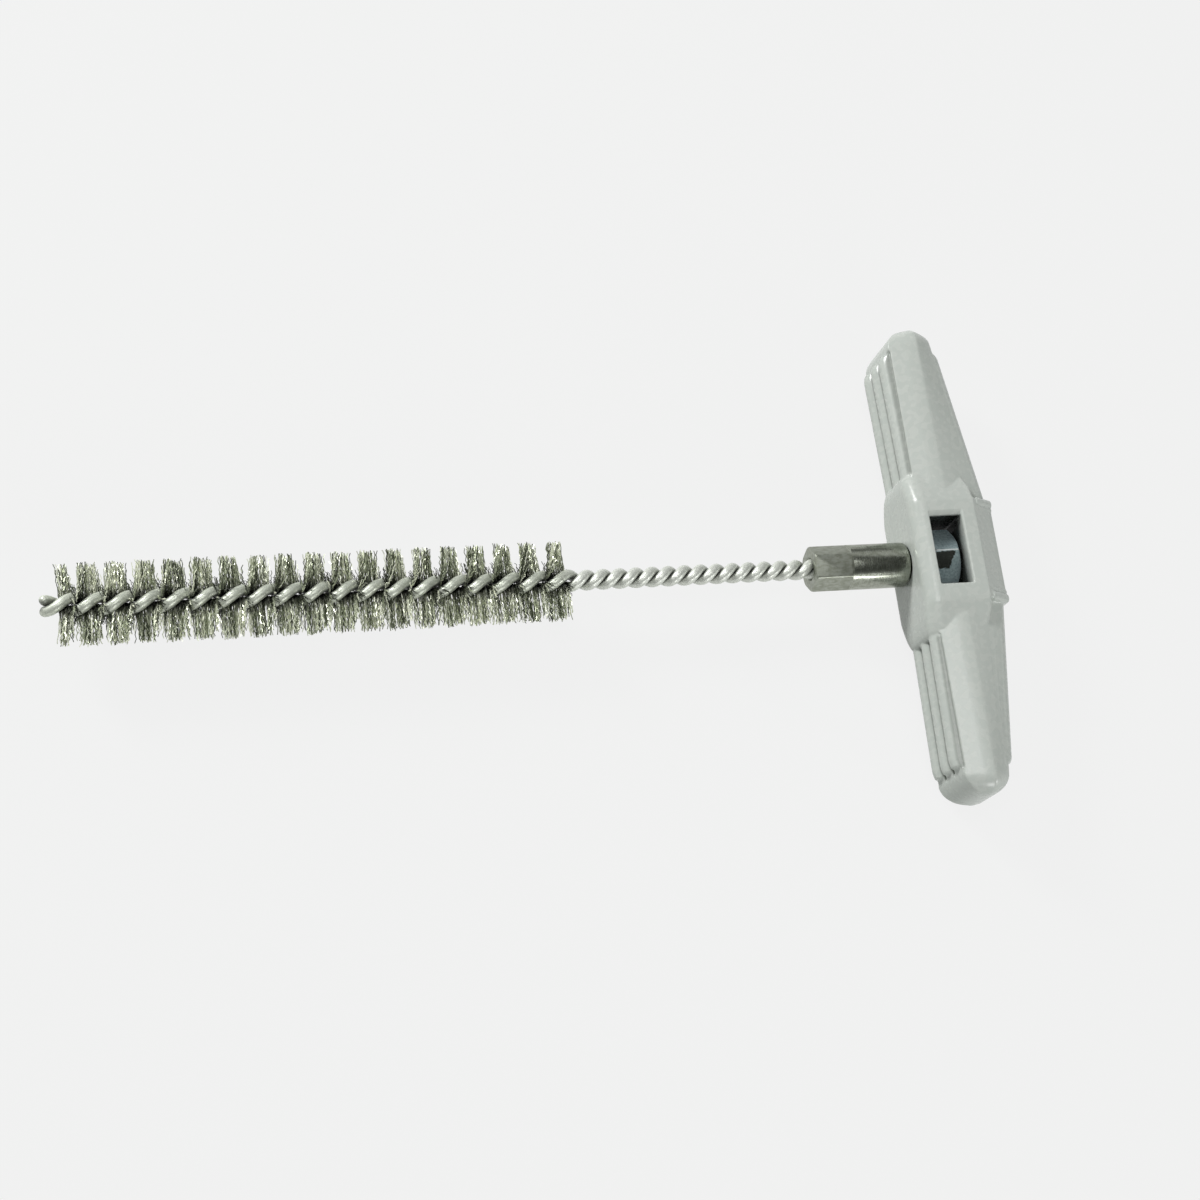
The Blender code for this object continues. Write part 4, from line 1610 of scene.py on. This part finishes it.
    def build(self) -> list[Object]:
        """Models all tufts.

        Returns:
            The pieces, from the handle's side to the tip.
        """
        kinds = [self.strand() for _ in range(self.kinds)]
        count = sum(1 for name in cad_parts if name.startswith("bristle_tuft"))
        pieces = [self.tuft(number, kinds) for number in range(1, count + 1)]
        for mesh in kinds:
            bpy.data.meshes.remove(mesh)
        return pieces

    def dress(self, pieces: Sequence[Object]) -> None:
        """Gives the filaments their steel.

        Args:
            pieces: the tufts, from the handle's side to the tip.
        """
        steel = SteelFilament().make()
        for number, piece in enumerate(pieces, start=1):
            dress(piece, steel, Body.BRUSH, "bristle_steel", f"bristle_tuft_{number:02d}")


# The studio


@dataclass(frozen=True)
class Lamp:
    """A square soft lamp: its name, its direction from the brush, its side in metres and its power."""

    name: str
    toward: Triple
    size: float
    watts: float
    aim: Triple = (0.02, 0.0, 0.01)
    distance: float = 1.0

    def hang(self) -> None:
        """Hangs the lamp, facing what it is aimed at."""
        data = bpy.data.lights.new(self.name, "AREA")
        data.shape = "SQUARE"
        data.size = self.size
        data.energy = self.watts
        direction = Vector(self.toward).normalized()
        place = Vector(self.aim) + direction * self.distance
        placed(self.name, data).matrix_world = Matrix.Translation(place) @ facing(direction)


@dataclass
class Studio:
    """A pale floor, soft lamps and a camera where the photograph's stood."""

    camera_place: Triple = (-181.93, -142.46, 415.98)
    camera_right: Triple = (0.9727, -0.1189, 0.1993)
    camera_up: Triple = (0.0536, 0.9506, 0.3056)
    clip_start: float = 0.01
    sensor: float = 36.0
    lens: float = 63.26
    shift: Point = (0.03525, 0.0383)
    paper: str = "#FAFAFA"
    matt: str = "#9CA29C"
    paper_share: float = 0.88
    floor_half: float = 60.0
    far_paper: str = "#F1F1F1"
    sky: tuple[tuple[float, str], ...] = ((0.0, "#F1F1F1"), (0.30, "#C2C5C2"), (0.75, "#8E928E"))
    horizon: float = 0.05
    world_strength: float = 0.26
    lamps: tuple[Lamp, ...] = (
        Lamp("window_side", (-0.60, 0.65, 0.45), 0.24, 7.6),
        Lamp("ceiling", (-0.20, 0.05, 0.95), 0.5, 3.2),
        Lamp("front_fill", (0.74, -0.55, 0.22), 0.12, 2.0),
        Lamp("table_side", (0.20, -0.90, 0.34), 0.3, 2.6),
        Lamp("back_sheen", (0.35, 0.70, 0.62), 0.6, 0.7),
    )

    def set_camera(self) -> None:
        """Places the camera."""
        data = bpy.data.cameras.new("camera")
        data.lens = self.lens
        data.sensor_width = self.sensor
        data.shift_x, data.shift_y = self.shift
        data.clip_start = self.clip_start
        camera = placed("camera", data)
        right, up = Vector(self.camera_right).normalized(), Vector(self.camera_up).normalized()
        turn = Matrix((right, up, right.cross(up))).transposed()
        camera.matrix_world = Matrix.Translation(HUB_FRONT + Vector(self.camera_place) * MM) @ turn.to_4x4()
        bpy.context.scene.camera = camera

    def seen_directly(self, tree: NodeTree) -> Node:
        """1 for rays from the camera, a mirror or glass.

        Args:
            tree: the material's nodes.

        Returns:
            The mask.
        """
        path = add(tree, "LightPath").outputs
        rays = [path[f"Is {kind} Ray"] for kind in ("Camera", "Glossy", "Transmission")]
        return together(tree, "MAXIMUM", *rays)

    def set_floor(self) -> None:
        """Lays the pale floor, which keeps the brush's shadow."""
        shape = bmesh.new()
        bmesh.ops.create_grid(shape, x_segments=1, y_segments=1, size=self.floor_half)
        floor = placed("floor", mesh_from(shape, "floor"))
        material, tree, shader = blank_material("studio_paper")
        tree.nodes.remove(shader)
        matt = add(tree, "BsdfDiffuse", Color=linear(self.matt))
        glow = add(tree, "Emission", Color=linear(self.paper), Strength=1.0)
        share = together(tree, "MULTIPLY", self.seen_directly(tree), self.paper_share)
        mix = add(tree, "MixShader", i0=share, i1=matt, i2=glow)
        feed(tree.nodes["Material Output"], Surface=mix)
        # Only rays that see the paper get its glow, so lamps alone are sampled
        material.cycles.emission_sampling = "NONE"
        floor.data.materials.append(material)

    def set_world(self) -> None:
        """Sets the soft light from all round."""
        world = bpy.data.worlds.new("studio")
        bpy.context.scene.world = world
        world.use_nodes = True
        tree = world.node_tree
        direction = add(tree, "TexCoord").outputs["Generated"]
        height = add(tree, "SeparateXYZ", Vector=direction).outputs["Z"]
        colour = add(tree, "ValToRGB", {"stops": self.sky}, Fac=height)
        # The strip behind the floor's end looks like the paper
        low = together(tree, "LESS_THAN", height, self.horizon)
        strip = together(tree, "MULTIPLY", self.seen_directly(tree), low)
        shown = add(tree, "Mix", OVER, i0=strip, i6=colour, i7=linear(self.far_paper)).outputs[2]
        strength = add(tree, "MapRange", i0=strip, i3=self.world_strength, i4=1.0)
        feed(tree.nodes["Background"], Color=shown, Strength=strength)

    def build(self) -> None:
        """Sets up the whole studio."""
        bpy.context.scene.view_settings.view_transform = "Standard"
        self.set_camera()
        self.set_floor()
        self.set_world()
        for lamp in self.lamps:
            lamp.hang()


def main() -> None:
    """Builds every sub-assembly in order."""
    logging.basicConfig(level=logging.INFO, format="%(name)s: %(message)s")
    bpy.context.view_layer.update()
    Studio().build()
    for assembly in (Handle(), Nut(), Ferrule(), core := Core(), Filling(core)):
        assembly.dress(assembly.build())


if __name__ == "__main__":
    main()
